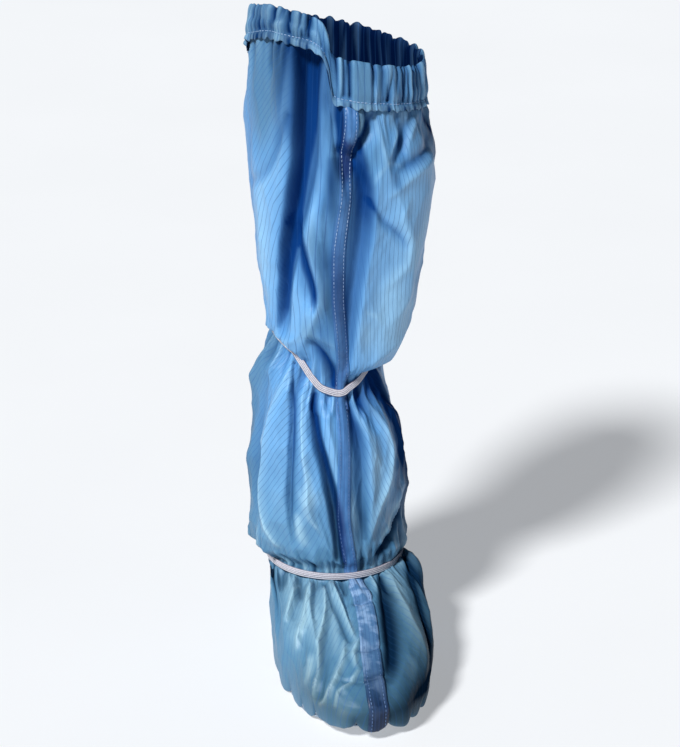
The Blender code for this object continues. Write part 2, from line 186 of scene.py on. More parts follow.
def footPoint(share, under, turn):
    form = footForm
    ankle = shaftPoint(np.full_like(turn, form["top"]), turn)
    frontness = np.maximum(0, np.cos(turn)) ** form["frontFade"]
    puff = form["toePuff"] + (form["ballPuff"] - form["toePuff"]) * np.abs(np.sin(turn))
    offDraw = np.degrees(wrapTurn(turn)) - form["outerDrawTurn"]
    puff = puff - form["outerDraw"] * np.exp(-((offDraw / form["outerDrawSpread"]) ** 2))
    wideX, wideY = soleOutline(turn / tau, puff)
    wideZ = soleHeight(wideY, 1.0) + form["widest"] - form["toeDrop"] * frontness
    out = np.sin(share * math.pi / 2)
    blunt = form["sideBlunt"] + (form["toeBlunt"] - form["sideBlunt"]) * frontness
    fall = np.maximum(0, 1 - out**blunt) ** (1 / form["sideBlunt"])
    fall = (1 - form["vampFall"] * frontness * out) * fall
    swell = np.where(np.sin(turn) > 0, form["innerPuff"], form["outerPuff"]) * np.sin(turn)
    x = ankle[..., 0] + (wideX - ankle[..., 0]) * out + swell * np.sin(share * math.pi)
    y = ankle[..., 1] + (wideY - ankle[..., 1]) * out
    z = wideZ + (ankle[..., 2] - wideZ) * fall
    edgeX, edgeY = soleOutline(turn / tau, -form["inset"])
    edgeZ = soleHeight(edgeY, 1.0) + form["seatGap"]
    inward = 1 - np.cos(under * math.pi / 2)
    down = np.sin(under * math.pi / 2)
    return np.stack([x + (edgeX - x) * inward, y + (edgeY - y) * inward, z + (edgeZ - z) * down], axis=-1)


def clothPoint(place, turn):
    # place: a height over 72 on the shaft; under 0 down the foot, -1 at its widest line, -2 at the sole
    place, turn = np.broadcast_arrays(np.asarray(place, float), np.asarray(turn, float))
    shaft = shaftPoint(np.maximum(place, footForm["top"]), turn)
    foot = footPoint(np.clip(-place, 0, 1), np.clip(-place - 1, 0, 1), turn)
    return np.where((place > 0)[..., None], shaft, foot)


def gridNormals(grid):
    # the columns close to a ring
    across = np.roll(grid, -1, axis=1) - np.roll(grid, 1, axis=1)
    normals = np.cross(np.gradient(grid, axis=0), across)
    return normals / np.maximum(np.linalg.norm(normals, axis=-1), 1e-9)[..., None]


# Rows and columns of the cloth, closer together in front and at the elastics.
clothMesh = {
    "columnsPerSide": 170,
    "frontDensity": 0.66,
    "rowStep": 2.0,
    "fineStep": 1.0,
    "fineReach": 14,
    "bandGap": 0.3,  # no other row lies nearer to an elastic's own row
    "footRows": 110,
    "footStart": 0.004,
    "underRows": 22,
    "wall": 0.5,
    "calfBand": 259,
    "ankleBand": 76,
    "hem": 495,
    "hemTuck": 2,  # rows of the cloth that reach into the doubled hem
    "tuckedIn": 2.0,
    "panelWidth": 235,  # cloth on each side of the front seam
}


def clothRows():
    mesh = clothMesh
    bands = (mesh["calfBand"], mesh["ankleBand"])
    rows = [float(legForm["height"][0])]
    while rows[-1] > footForm["top"] + 2 * mesh["bandGap"]:
        near = min(abs(rows[-1] - band) for band in bands) < mesh["fineReach"]
        rows.append(rows[-1] - (mesh["fineStep"] if near else mesh["rowStep"]))
    lowest = footForm["top"] + mesh["bandGap"]
    rows = [row for row in rows if row > lowest and min(abs(row - band) for band in bands) > mesh["bandGap"]]
    rows = sorted(rows + list(bands), reverse=True)
    foot = list(-np.linspace(mesh["footStart"], 1, mesh["footRows"]))
    return np.array(rows + foot + list(-1 - np.linspace(0, 1, mesh["underRows"])[1:]))


def ringShares(perSide):
    t = np.arange(perSide + 1) / perSide
    return clothMesh["frontDensity"] * t + (1 - clothMesh["frontDensity"]) * t**3


def ringAcross(perSide, leftSign=1):
    # mm of cloth between the front seam and each column
    shares = ringShares(perSide)
    return np.concatenate([shares, leftSign * shares[-2:0:-1]]) * clothMesh["panelWidth"]


def ringTurns(places, perSide):
    # turns of all points of the rows, from the front seam by the right to the back and round the left
    stray = np.where(
        places > 0,
        smoothCurve(places, seamStray["height"], seamStray["turn"]),
        smoothCurve(-places, seamStray["share"], seamStray["footTurn"]),
    )
    front = np.radians(stray)[:, None]
    shares = ringShares(perSide)[None, :]
    right = front + shares * (math.pi - front)
    left = front - shares[:, perSide - 1 : 0 : -1] * (math.pi + front)
    return np.concatenate([right, left], axis=1)


def fold(*path, **form):
    # one line of a table: its points, then lean and power where they are set
    return dict(path=path, **form)


# The main creases, listed one by one. Each point is place, turn in degrees, half width and depth in mm.
# A negative depth is a ridge. lean over 0 makes the right flank the broad one, and power sets how flat
# the floor is.
creases = [
    # the deep pleat beside the front seam, its sharp outer edge and its two branches
    fold((545, -36, 8, 4), (505, -29, 12, 14), (470, -26, 13, 18), (440, -28, 13, 18), (412, -33, 11, 17),
         (388, -38, 9, 14), (362, -43, 7, 11), (335, -47.5, 6, 10), (305, -51.5, 6, 8), (280, -52, 5, 2),
         lean=0.6, power=3.4),
    fold((500, -40, 5, -2), (455, -38, 5, -3), (423, -42, 5, -3), (395, -48, 5, -3), (350, -55, 5, -2)),
    fold((386, -37, 6, 1), (368, -31, 8, 6), (351, -26, 8, 8), (335, -22, 6, 7), (318, -21, 4, 0),
         lean=-0.3),
    fold((472, -10, 4, -2), (439, -15, 5, -4), (413, -20, 5, -4), (385, -22, 5, -4), (359, -19, 5, -4),
         (331, -16, 5, -5), (315, -20, 5, -4), (291, -29, 4, -3)),
    fold((405, -9, 6, 1), (365, -9, 7, 4), (325, -8, 6, 3), (305, -8, 5, 0)),
    # beside the front seam on the inner side
    fold((464, 5, 4, 3), (440, 10, 8, 8), (419, 14, 9, 10), (391, 14, 9, 10), (363, 12, 8, 9),
         (331, 9, 7, 8), (310, 8, 6, 7), (280, 7, 4, 3), lean=-0.55, power=2.4),
    fold((452, 24, 6, -1), (419, 20.5, 7, -2.5), (391, 20.5, 7, -2.5), (363, 17.5, 7, -2.5),
         (331, 14.5, 7, -2.5), (300, 13, 5, -1), lean=0.6),
    # the pucker under the hem
    fold((494, 8, 10, -2), (480, 7, 8, -4), (468, 5, 5, -5), (458, 4, 3, -4), (452, 3, 2, 0), power=3),
    fold((492, 4, 2, -2), (475, 3.5, 2, -2.5), (459, 3.5, 2, -2)),
    fold((492, 17, 2, -2), (475, 12, 2, -3), (459, 6, 2, -2)),
    fold((490, 22, 4, 3), (474, 17, 5, 6), (460, 10, 5, 6), (448, 7, 4, 3)),
    fold((454, 0, 5, 7), (442, 1, 5, 8), (420, 3, 4, 2)),
    fold((492, -4, 5, 5), (470, -4, 5, 6), (452, -3, 4, 4), (440, -3, 3, 1)),
    # inner panel above the calf
    fold((488, 23, 4, -2), (470, 24, 5, -3), (447, 26, 5, -3), (430, 28, 5, -1)),
    fold((494, 52, 4, 2), (475, 44, 5, 4), (459, 37, 5, 4), (446, 32, 4, 1)),
    fold((478, 38, 3, -1.5), (467, 34.5, 3, -2.5), (453, 29, 3, -1.5)),
    fold((484, 57, 3, -1.5), (469, 46, 3, -2.5), (455, 40.5, 3, -1.5)),
    fold((421, 29, 5, -1.5), (430, 38, 6, -3), (437, 46, 7, -3), (443, 59, 7, -3), (447, 74, 7, -2)),
    fold((441, 34, 4, 1), (448, 48, 5, 3), (456, 64, 6, 3)),
    fold((415, 17, 3, 1), (399, 25, 3.5, 2.5), (388, 34, 3.5, 2.5), (377, 40, 3, 1)),
    fold((414, 40, 4, -1), (402, 36, 4, -2), (389, 40.5, 4, -2), (377, 44, 4, -2), (362, 43, 5, -2),
         (348, 33, 6, -1.5)),
    fold((425, 31, 8, -1), (400, 39, 9, -3), (370, 47, 10, -3), (338, 47, 9, -3), (318, 36, 7, -1)),
    fold((372, 68, 9, 1), (345, 62, 9, 3), (326, 52, 7, 1)),
    fold((480, 62, 6, 2), (462, 70, 8, 4), (430, 84, 8, 2)),
    fold((478, 54, 16, -2), (435, 52, 22, -5), (385, 51, 23, -7), (335, 46, 19, -6), (302, 40, 13, -2),
         power=2),
    # outer panel above the calf
    fold((457, -35, 3, 1), (437, -46, 4, 3), (415, -65, 5, 3), (405, -82, 5, 1)),
    fold((525, -64, 6, 2), (505, -58, 7, 5), (485, -52, 6, 3), (470, -48, 5, 0)),
    fold((500, -48, 4, -2), (480, -44, 4, -3), (455, -42, 4, -2)),
    fold((400, -64, 9, -2), (360, -66, 10, -3), (320, -66, 8, -2)),
    fold((460, -74, 9, 1), (425, -82, 10, 4), (380, -86, 10, 3), (340, -86, 8, 0)),
    # over the calf elastic
    fold((293, -25, 4, 3), (284, -13, 6, 7), (274, -7, 6, 7), (265, -4, 4, 3)),
    fold((325, -25, 5, -2), (305, -29, 5, -3), (290, -37, 4, -3), (281, -47, 4, -2)),
    fold((302, -21, 4, -2), (299, -8, 4, -3), (292, 3, 3, -1)),
    fold((276, -36, 4, -2), (279, -50, 5, -4), (275, -70, 5, -3), (272, -88, 5, -1)),
    fold((312, 60, 7, -1), (302, 48, 7, -2.5), (290, 31, 6, -3), (277, 21, 5, -2)),
    fold((318, 82, 9, 0), (306, 80, 12, 4), (292, 78, 14, 11), (279, 76, 11, 7), (268, 76, 8, 1),
         power=2),
    # behind, above the calf
    fold((500, 115, 15, 2), (430, 112, 15, 9), (340, 109, 14, 8), (278, 108, 8, 2)),
    fold((515, 168, 14, 3), (440, 165, 14, 10), (340, 160, 13, 9), (275, 158, 8, 2)),
    fold((505, -120, 16, 2), (430, -117, 16, 9), (350, -114, 14, 8), (290, -112, 10, 2)),
    fold((470, 140, 9, -2), (400, 138, 10, -4), (330, 134, 9, -3)),
    fold((480, -150, 10, -2), (410, -146, 11, -4), (330, -140, 9, -3)),
    fold((420, -172, 8, 1), (370, -168, 9, 4), (310, -160, 8, 4), (285, -156, 6, 1)),
    fold((395, 88, 8, 1), (350, 92, 9, 4), (310, 88, 7, 2)),
    # lower shaft, outer side
    fold((228, -67, 6, 3), (190, -69, 7, 5), (150, -70, 7, 5), (118, -66, 6, 1)),
    fold((240, -46, 4, -3), (212, -53, 5, -5), (180, -57, 5, -5), (150, -59, 5, -5), (125, -56, 5, -5),
         (102, -46, 4, -3)),
    fold((250, -43, 3, 3), (226, -37.5, 5, 7), (192, -37, 5, 8), (158, -37.5, 5, 8), (132, -36, 4, 6),
         (108, -33, 3, 2), lean=0.75),
    fold((246, -31, 3, -2), (230, -29.5, 4, -4), (207, -27, 4, -5), (183, -24, 4, -5),
         (163, -21.5, 4, -5), (149, -21, 4, -4), (131, -18, 3, -3), (117, -13, 2.5, -1)),
    fold((252, -22, 3, 4), (237, -19.5, 4, 8), (211, -16.5, 4.5, 10), (185, -11, 4.5, 11),
         (159, -6.5, 4.5, 10), (133, -3.5, 4.5, 10), (108, -1.5, 4, 8), (92, -1, 3, 5), power=2.8),
    fold((235, -9, 4, -1), (205, -5, 4, -3), (175, -1, 3, -1)),
    fold((158, -22, 4, -1), (146, -21, 4, -2), (132, -20, 3, -1)),
    # lower shaft, inner side
    fold((253, 16, 4, 3), (232, 19, 6, 6), (201, 20.5, 7, 7), (160, 20.5, 7, 7), (125, 20.5, 6, 6),
         (100, 19, 4, 2), lean=-0.6),
    fold((230, 26, 6, -1.5), (207, 25.5, 6, -2.5), (175, 25, 6, -2.5), (150, 24.5, 6, -2.5),
         (118, 24.5, 5, -1.5), lean=0.6),
    fold((253, 32, 4, 4), (238, 36, 5, 5), (220, 40, 4, 1)),
    fold((258, 40, 3, -2), (245, 37, 4, -4), (225, 46, 4.5, -5), (199, 48, 4.5, -5), (173, 45, 4.5, -5),
         (149, 38, 4.5, -4), (133, 30, 4, -3), (112, 26, 3, -1)),
    fold((132, 74, 5, 2), (119, 64, 7, 7), (104, 48, 7, 8), (91, 36, 5, 6), (82, 30, 3, 2), lean=-0.2),
    fold((130, 66, 3, -2), (116, 50, 3, -4), (101, 36, 3, -3)),
    fold((236, 63, 4, 2), (210, 65, 5, 3), (180, 64, 5, 3), (150, 60, 5, 2)),
    fold((266, 82, 11, 5), (252, 82, 14, 14), (238, 85, 13, 14), (222, 88, 10, 4)),
    # lower shaft, behind
    fold((240, 98, 9, 1), (190, 104, 12, 6), (130, 106, 12, 6), (94, 106, 8, 2)),
    fold((240, 150, 9, 2), (190, 152, 13, 8), (130, 154, 13, 8), (92, 156, 8, 2)),
    fold((246, -105, 9, 2), (190, -108, 14, 8), (130, -110, 14, 8), (94, -112, 9, 2)),
    fold((230, 122, 7, -2), (180, 124, 9, -4), (120, 126, 8, -3)),
    fold((235, -138, 7, -2), (180, -140, 9, -4), (120, -141, 8, -3)),
    fold((240, 178, 6, 2), (190, -176, 8, 5), (140, -172, 7, 4), (110, -170, 5, 1)),
    # leaf-like gathers on the foot, outer side
    fold((-.04, -32, 2, 2), (-.10, -34, 3, 2.5), (-.20, -38, 3.5, 3), (-.32, -43, 3.5, 3),
         (-.44, -47, 2, 1)),
    fold((-.03, -19, 1.5, 1.5), (-.08, -21, 2.2, 2.2), (-.16, -23, 2.5, 2.2), (-.28, -23, 1.5, 1)),
    fold((-.10, -8, 2, 1), (-.22, -10, 4, 3), (-.36, -14, 6, 5), (-.55, -18, 6.5, 5), (-.80, -21, 5, 4),
         (-1.05, -24, 3, 2)),
    fold((-.02, -13, 1.2, 1.5), (-.12, -9.5, 1.5, 3), (-.22, -6, 1.6, 3), (-.38, -3, 1.5, 1.5)),
    fold((-.46, -36, 3.5, 2), (-.56, -36, 4, 3), (-.68, -36, 3.5, 2)),
    fold((-.06, 1, 1.5, 1.5), (-.12, 0, 2, 3), (-.24, 0, 1.5, 1.5)),
    fold((-.05, -36, 1.5, -1.5), (-.18, -43, 2, -3), (-.32, -48.5, 2.2, -3.5), (-.46, -52, 2, -2)),
    fold((-.05, -28, 1.8, -2), (-.14, -29, 2.2, -3.5), (-.30, -32, 2.5, -4), (-.50, -40, 3, -3),
         (-.62, -44, 2.5, -1.5)),
    fold((-.05, -25, 1.5, -2), (-.16, -26.5, 2, -3), (-.28, -25.5, 2, -3), (-.44, -22.5, 2, -2)),
    fold((-.03, -14, 1.5, -2), (-.16, -14, 1.8, -3.5), (-.30, -17, 1.8, -3.5), (-.44, -20.5, 2, -4),
         (-.66, -22, 2.2, -4), (-.86, -25.5, 2, -3.5), (-1.10, -26, 2, -2)),
    fold((-1.10, -23, 2, -2), (-.94, -18, 2, -3.5), (-.80, -15, 2, -3.5), (-.66, -11, 2.2, -4),
         (-.46, -6, 2, -3), (-.38, -5, 1.5, -1)),
    fold((-.03, -7, 1.5, -1.5), (-.10, -4.5, 1.8, -3), (-.18, -2.5, 1.8, -3.2), (-.30, -1, 1.8, -2.5),
         (-.36, 0, 1.5, -1)),
    fold((-.34, 3, 1.5, -1.5), (-.40, 0.5, 1.8, -3), (-.46, -2, 1.8, -3), (-.54, -2, 1.6, -1.5)),
    fold((-.56, -1, 1.5, -2), (-.66, -5, 1.8, -3), (-.80, -10.5, 1.8, -3), (-.95, -12, 1.8, -1.5)),
    fold((-.03, -58, 3, 3), (-.20, -60, 5, 5), (-.50, -64, 5, 4), (-.75, -66, 4, 1)),
    # the foot's inner side
    fold((-.03, 33, 3, 3), (-.10, 29, 5, 6), (-.18, 25, 6, 8), (-.34, 18, 7, 8), (-.52, 13, 7, 7),
         (-.64, 10, 5, 4), (-.80, 9, 4, 1), lean=0.3),
    fold((-.05, 41, 4, -2), (-.24, 37, 5, -4), (-.42, 35, 6, -4), (-.60, 35, 6, -4), (-.75, 32, 5, -2)),
    fold((-.05, 70, 3, 3), (-.24, 57, 4, 5), (-.42, 49, 4, 5), (-.62, 44, 4, 4), (-.80, 40, 3, 1)),
    fold((-.02, 80, 12, -6), (-.20, 84, 14, -10), (-.50, 82, 14, -5)),
    # steps across the seam on the toe
    fold((-.13, 2, 2.5, 1), (-.135, 10, 3.5, 5), (-.13, 20, 2.5, 1), lean=-0.5),
    fold((-.43, -2, 2.5, 1), (-.425, 5, 3.5, 5), (-.42, 12, 2.5, 1), lean=-0.5),
    fold((-.66, -10, 3, 1), (-.63, 0, 3.5, 5), (-.61, 9, 3, 3), lean=-0.5),
    # the foot's sides and heel
    fold((-.05, 92, 6, 2), (-.40, 88, 9, 4), (-.85, 84, 8, 2)),
    fold((-.05, -84, 8, 2), (-.40, -80, 10, 4), (-.85, -76, 9, 2)),
    fold((-.03, 140, 7, 2), (-.40, 139, 11, 4), (-.85, 138, 9, 2)),
    fold((-.03, -140, 7, 2), (-.40, -139, 11, 4), (-.85, -138, 9, 2)),
    fold((-.04, 168, 5, 2), (-.35, 170, 7, 3), (-.70, 172, 6, 1)),
    fold((-.04, -112, 5, 2), (-.35, -110, 7, 3), (-.70, -108, 6, 1)),
]
creaseSteps = 20  # straight pieces in each crease's line
creaseReach = 2.6  # half widths after which a crease has died away
ridgePower = 1.15  # under 2 the ridges peak
troughPower = 1.7


def creaseDepth(points, normals, crease):
    # how far one crease pushes the cloth in at each point
    knots = np.array(crease["path"], float)
    knots[:, 1] = np.unwrap(np.radians(knots[:, 1]))
    lean = crease.get("lean", 0)
    t = np.linspace(0, len(knots) - 1, creaseSteps + 1)
    place, turn, width, depth = (smoothCurve(t, np.arange(len(knots)), column) for column in knots.T)
    line = clothPoint(place, turn)
    found = np.zeros(len(points))
    reach = creaseReach * width.max() * (1 + abs(lean))
    near = np.all((points > line.min(0) - reach) & (points < line.max(0) + reach), axis=1)
    at, facing = points[near], normals[near]
    start, along = line[:-1], np.diff(line, axis=0)
    off = at[:, None, :] - start[None]
    share = np.clip((off * along[None]).sum(2) / (along**2).sum(1)[None], 0, 1)
    gap = off - share[:, :, None] * along[None]
    square = (gap**2).sum(2)
    best = np.argmin(square, axis=1)
    pick = np.arange(len(at))
    side = (gap[pick, best] * np.cross(facing, along[best])).sum(1)
    position = best + share[pick, best]
    steps = np.arange(creaseSteps + 1)
    flank = np.interp(position, steps, width) * (1 + lean * np.sign(side))
    away = np.sqrt(square[pick, best]) / flank
    depth = np.interp(position, steps, depth)
    power = crease.get("power", np.where(depth < 0, ridgePower, troughPower))
    found[near] = depth * np.exp(-(away**power))
    return found


def waves(turn, seed, low, high, count=7):
    # a smooth random curve round the leg, about -1 to 1
    rng = np.random.default_rng(seed)
    total = np.zeros_like(turn)
    for k in rng.integers(low, high, count):
        total += np.sin(k * turn + rng.uniform(0, tau))
    return total / math.sqrt(count / 2)


puckerForm = {"wander": 0.9, "waves": (3, 14), "power": 1.3}


def puckers(turn, count, seed):
    # rounded lobes between sharp valleys: 0 on a lobe, 1 in a valley
    phase = count * turn / 2 + puckerForm["wander"] * waves(turn, seed, *puckerForm["waves"])
    return (1 - np.abs(np.sin(phase))) ** puckerForm["power"]


# Fine frills that die away from the elastics and the hem: lobes round the leg, depth and reach in mm.
gathers = {
    "hemBelow": [(96, 1.6, 8), (44, 1.4, 16)],
    "calfAbove": [(84, 1.2, 6), (44, 1.8, 14)],
    "calfBelow": [(84, 1.2, 6), (44, 2.0, 16)],
    "ankleAbove": [(96, 1.4, 6), (44, 2.0, 15)],
    "ankleBelow": [(96, 1.4, 8), (44, 2.4, 18)],
    "tonedLobes": 44, "toneStrength": 0.45, "toneReach": 14,  # painted light and shade in the second, broader set
    "bandSeed": {"hem": 11, "calf": 23, "ankle": 37},
    # stronger and weaker parts round the leg
    "share": 0.75, "vary": 0.3, "least": 0.1, "varyWaves": (2, 9), "varySeed": 50,
}
# Leaf-shaped tucks that run out from each gathering, alternating with ridges. Each row has its band, the
# way it runs, how many there are, the range of length, half width and depth in mm, its seed, and whether
# they are fine ones.
tuckKeys = ("band", "way", "count", "length", "width", "depth", "seed", "fine")
tuckRows = [
    ("hem", -1, 40, (18, 60), (2.2, 4.2), (1.5, 3.6), 101, False),
    ("calf", 1, 30, (22, 70), (2.2, 4.5), (1.8, 4.0), 102, False),
    ("calf", -1, 34, (24, 80), (2.2, 4.5), (2.0, 4.6), 103, False),
    ("ankle", 1, 36, (20, 60), (2.2, 4.2), (1.8, 4.0), 104, False),
    ("foot", -1, 40, (24, 85), (2.4, 5.0), (2.0, 4.6), 105, False),
    ("hem", -1, 84, (8, 30), (1.2, 2.0), (0.8, 1.8), 111, True),
    ("calf", 1, 76, (8, 28), (1.2, 2.0), (0.8, 1.8), 112, True),
    ("calf", -1, 84, (10, 36), (1.2, 2.0), (0.9, 2.0), 113, True),
    ("ankle", 1, 90, (8, 30), (1.2, 2.0), (0.9, 2.0), 114, True),
    ("foot", -1, 90, (10, 36), (1.2, 2.0), (0.9, 2.2), 115, True),
]
tucks = [dict(zip(tuckKeys, row)) for row in tuckRows]


def gatherDepth(turn, distance, rows, seed):
    total = np.zeros_like(turn)
    for k, (count, depth, reach) in enumerate(rows):
        vary = waves(turn, seed + gathers["varySeed"] + k, *gathers["varyWaves"])
        strength = np.maximum(depth * (gathers["share"] + gathers["vary"] * vary), gathers["least"])
        total += strength * puckers(turn, count, seed + k) * np.exp(-distance / reach)
    return total


# Crumpled facets: dished cells with crisp ridges between them, longer down the cloth than across. skew slants
# them outwards, and the shaft above the calf has a share of their depth.
crumples = [
    dict(across=24, down=60, depth=9.0, skew=0.35, seed=5, upperShare=0.45, footShare=0.4, givesWay=2.5),
    dict(across=10, down=23, depth=2.6, skew=-0.25, seed=6, upperShare=0.55, footShare=0.7, givesWay=6.0),
]
cellForm = {"count": 97, "jitter": 0.42, "stagger": 0.5, "level": 0.28}  # count: until it repeats


def crumpleDepth(across, down, crumple):
    u = (across - crumple["skew"] * down * np.sign(across)) / crumple["across"]
    v = down / crumple["down"]
    rng = np.random.default_rng(crumple["seed"])
    size = cellForm["count"]
    jitter = rng.uniform(-cellForm["jitter"], cellForm["jitter"], (size, size, 2))
    column, row = np.floor(u).astype(int), np.floor(v).astype(int)
    nearest = np.full(u.shape, np.inf)
    for stepColumn in (-1, 0, 1, 2):
        for stepRow in (-1, 0, 1, 2):
            i, k = column + stepColumn, row + stepRow
            shift = jitter[i % size, k % size]
            stagger = cellForm["stagger"] * (k % 2)
            square = (u - i - stagger - shift[..., 0]) ** 2 + (v - k - shift[..., 1]) ** 2
            nearest = np.minimum(nearest, square)
    return crumple["depth"] * (cellForm["level"] - nearest)


# Puffs of cloth between tucks round the edge, hanging a little over the sole.
scallops = {
    "tucks": [-172, -155, -140, -122, -106, -90, -73, -56, -41, -28, -4,
              9, 22, 36, 52, 70, 88, 104, 121, 138, 154, 170],
    "out": 1.4, "drop": 10, "floorGap": 0.8, "lobePower": 0.4, "shade": 0.6,
    "from": 1.1, "reach": 0.88, "hang": (1.0, 1.5),  # how far under the foot
}
# Cloth that folds down over the calf elastic: mm out and down at each turn.
overhang = {
    "turn": [-180, -110, -90, -60, -40, -33, -27, 14, 24, 36, 52, 64, 85, 115, 180],
    "out": [0, 0, 3, 5, 5, 3, 0, 0, 1, 2, 2, 2, 0, 0, 0],
    "drop": [0, 0, 1, 2, 2, 1, 0, 0, 0, 2, 7, 6, 1, 0, 0],
    "above": 12,
}


def scallopLobe(turn):
    edges = np.array(scallops["tucks"], float)
    wrapped = np.concatenate([[edges[-1] - 360], edges, [edges[0] + 360]])
    degrees = np.degrees(wrapTurn(turn))
    i = np.clip(np.searchsorted(wrapped, degrees), 1, len(wrapped) - 1)
    t = (degrees - wrapped[i - 1]) / (wrapped[i] - wrapped[i - 1])
    return np.clip(np.sin(math.pi * t), 0, 1) ** scallops["lobePower"]


places = clothRows()
turns = ringTurns(places, clothMesh["columnsPerSide"])
baseGrid = clothPoint(places[:, None], turns)
baseNormals = gridNormals(baseGrid)
downLength = np.concatenate(
    [np.zeros((1, turns.shape[1])), np.cumsum(np.linalg.norm(np.diff(baseGrid, axis=0), axis=2), axis=0)]
)
hemRow = int(np.argmin(np.abs(places - clothMesh["hem"])))
calfRow = int(np.argmin(np.abs(places - clothMesh["calfBand"])))
ankleRow = int(np.argmin(np.abs(places - clothMesh["ankleBand"])))
wideRow = int(np.argmin(np.abs(places + 1)))

bandHeight = {"hem": clothMesh["hem"], "calf": clothMesh["calfBand"], "ankle": clothMesh["ankleBand"]}
tuckForm = {
    "along": [0.02, 0.3, 0.65, 1.0], "width": [0.55, 1.0, 0.8, 0.35], "depth": [0.75, 1.0, 0.6, 0.0],
    "jitter": 0.38, "ridge": 0.8, "drift": 0.12, "footMost": 0.95,
    "handFolded": 56, "shorter": 0.45,  # nearer the front they stay short, clear of the main creases listed above
}


def tuckCreases():
    form = tuckForm
    along, widths, depths = (np.array(form[key]) for key in ("along", "width", "depth"))
    made = []
    footLength = downLength[wideRow] - downLength[ankleRow]
    ringTurn = wrapTurn(turns[ankleRow])
    order = np.argsort(ringTurn)
    for row in tucks:
        rng = np.random.default_rng(row["seed"])
        jitter = rng.uniform(-form["jitter"], form["jitter"], row["count"])
        spread = (np.arange(row["count"]) + jitter) * 360 / row["count"] - 180
        for k, turn in enumerate(spread):
            length, width, depth = (rng.uniform(*row[key]) for key in ("length", "width", "depth"))
            if k % 2:
                width, depth = width * form["ridge"], -form["ridge"] * depth
            if abs(turn) < form["handFolded"] and row["band"] != "hem" and not row["fine"]:
                length *= form["shorter"]
            drift = rng.uniform(-form["drift"], form["drift"]) * length
            if row["band"] == "foot":
                full = np.interp(math.radians(turn), ringTurn[order], footLength[order])
                spots = -np.minimum(along * length / full, form["footMost"])
            else:
                spots = bandHeight[row["band"]] + row["way"] * along * length
            made.append(fold(*zip(spots, turn + drift * along, width * widths, depth * depths)))
    return made


def creaseField(grid, normals, lines):
    flat, facing = grid.reshape(-1, 3), normals.reshape(-1, 3)
    total = np.zeros(len(flat))
    for crease in lines:
        total += creaseDepth(flat, facing, crease)
    return total.reshape(grid.shape[:2])


# How elastics, hem, seam and sole hold the cloth, in mm or as shares of a fold's depth.
hold = {
    "elasticGrip": 5.0, "hemGrip": 7.0, "gripShare": 0.35, "gripDepth": 0.2,
    "fineLimit": 5.0,  # gathers and tucks together go no deeper
    "hemEase": 0.75, "hemEaseFrom": -4, "hemEaseTo": 8, "hemTuckFrom": -6,
    "seamShare": 0.2, "seamReach": (5, 16),
    "sewnPlaces": (1.8, 2.0),
}
hemHeight = clothMesh["hem"]
mainDepth = creaseField(baseGrid, baseNormals, creases)
inHem = smoothStep(places, hemHeight + hold["hemEaseFrom"], hemHeight + hold["hemEaseTo"])
mainDepth *= (1 - hold["hemEase"] * inHem)[:, None]
leaves = tuckCreases()
leafDepth = creaseField(baseGrid, baseNormals, leaves)
print("creases placed:", len(creases), "by hand and", len(leaves), "tucks")

fromHem, fromCalf, fromAnkle = (downLength - downLength[row] for row in (hemRow, calfRow, ankleRow))
seeds = gathers["bandSeed"]
fineDepth = gatherDepth(turns, np.abs(fromHem), gathers["hemBelow"], seeds["hem"])
for away, band in ((fromCalf, "calf"), (fromAnkle, "ankle")):
    above = gatherDepth(turns, np.abs(away), gathers[band + "Above"], seeds[band])
    below = gatherDepth(turns, np.abs(away), gathers[band + "Below"], seeds[band])
    fineDepth += np.where(away < 0, above, below)
fineDepth = hold["fineLimit"] * np.tanh((fineDepth + leafDepth) / hold["fineLimit"])
fromSeam = ringAcross(clothMesh["columnsPerSide"], -1)
seamEase = smoothStep(np.abs(fromSeam), *hold["seamReach"])[None]
seamEase = hold["seamShare"] + (1 - hold["seamShare"]) * seamEase
for crumple in crumples:
    below = np.where(places < 0, crumple["footShare"], 1.0)
    share = np.where(places > clothMesh["calfBand"], crumple["upperShare"], below)[:, None]
    share = share * seamEase / (1 + np.abs(mainDepth) / crumple["givesWay"])
    fineDepth += share * crumpleDepth(np.broadcast_to(fromSeam, turns.shape), downLength, crumple)
totalDepth = mainDepth + fineDepth
grips = ((fromCalf, "elasticGrip"), (fromAnkle, "elasticGrip"), (np.maximum(fromHem, 0), "hemGrip"))
for away, grip in grips:
    held = np.exp(-((away / hold[grip]) ** 2))  # an elastic or a hem lets nothing stand out over it
    gripped = np.maximum(hold["gripShare"] * totalDepth, hold["gripDepth"])
    totalDepth = totalDepth * (1 - held) + held * gripped
tuckedIn = smoothStep(places, hemHeight + hold["hemTuckFrom"], hemHeight)[:, None]
totalDepth += clothMesh["tuckedIn"] * tuckedIn
settled = 1 - smoothStep(-places, *hold["sewnPlaces"])[:, None]  # sewn down flat on the sole
clothGrid = baseGrid - baseNormals * (totalDepth * settled)[..., None]

degreesRound = np.degrees(wrapTurn(turns))
aboveCalf = np.maximum(-fromCalf, 0) / overhang["above"]
lap = aboveCalf * np.exp(1 - aboveCalf)
clothGrid += baseNormals * (lap * smoothCurve(degreesRound, overhang["turn"], overhang["out"]))[..., None]
clothGrid[..., 2] -= lap * smoothCurve(degreesRound, overhang["turn"], overhang["drop"])

lobe = scallopLobe(turns)
puffed = np.sin(math.pi * np.clip((-places - scallops["from"]) / scallops["reach"], 0, 1))[:, None]
clothGrid += baseNormals * (scallops["out"] * (lobe - 0.5) * puffed)[..., None]
hang = scallops["drop"] * lobe * puffed * smoothStep(-places, *scallops["hang"])[:, None]
clothGrid[..., 2] = np.maximum(clothGrid[..., 2] - hang, np.minimum(baseGrid[..., 2], scallops["floorGap"]))
clothNormals = gridNormals(clothGrid)
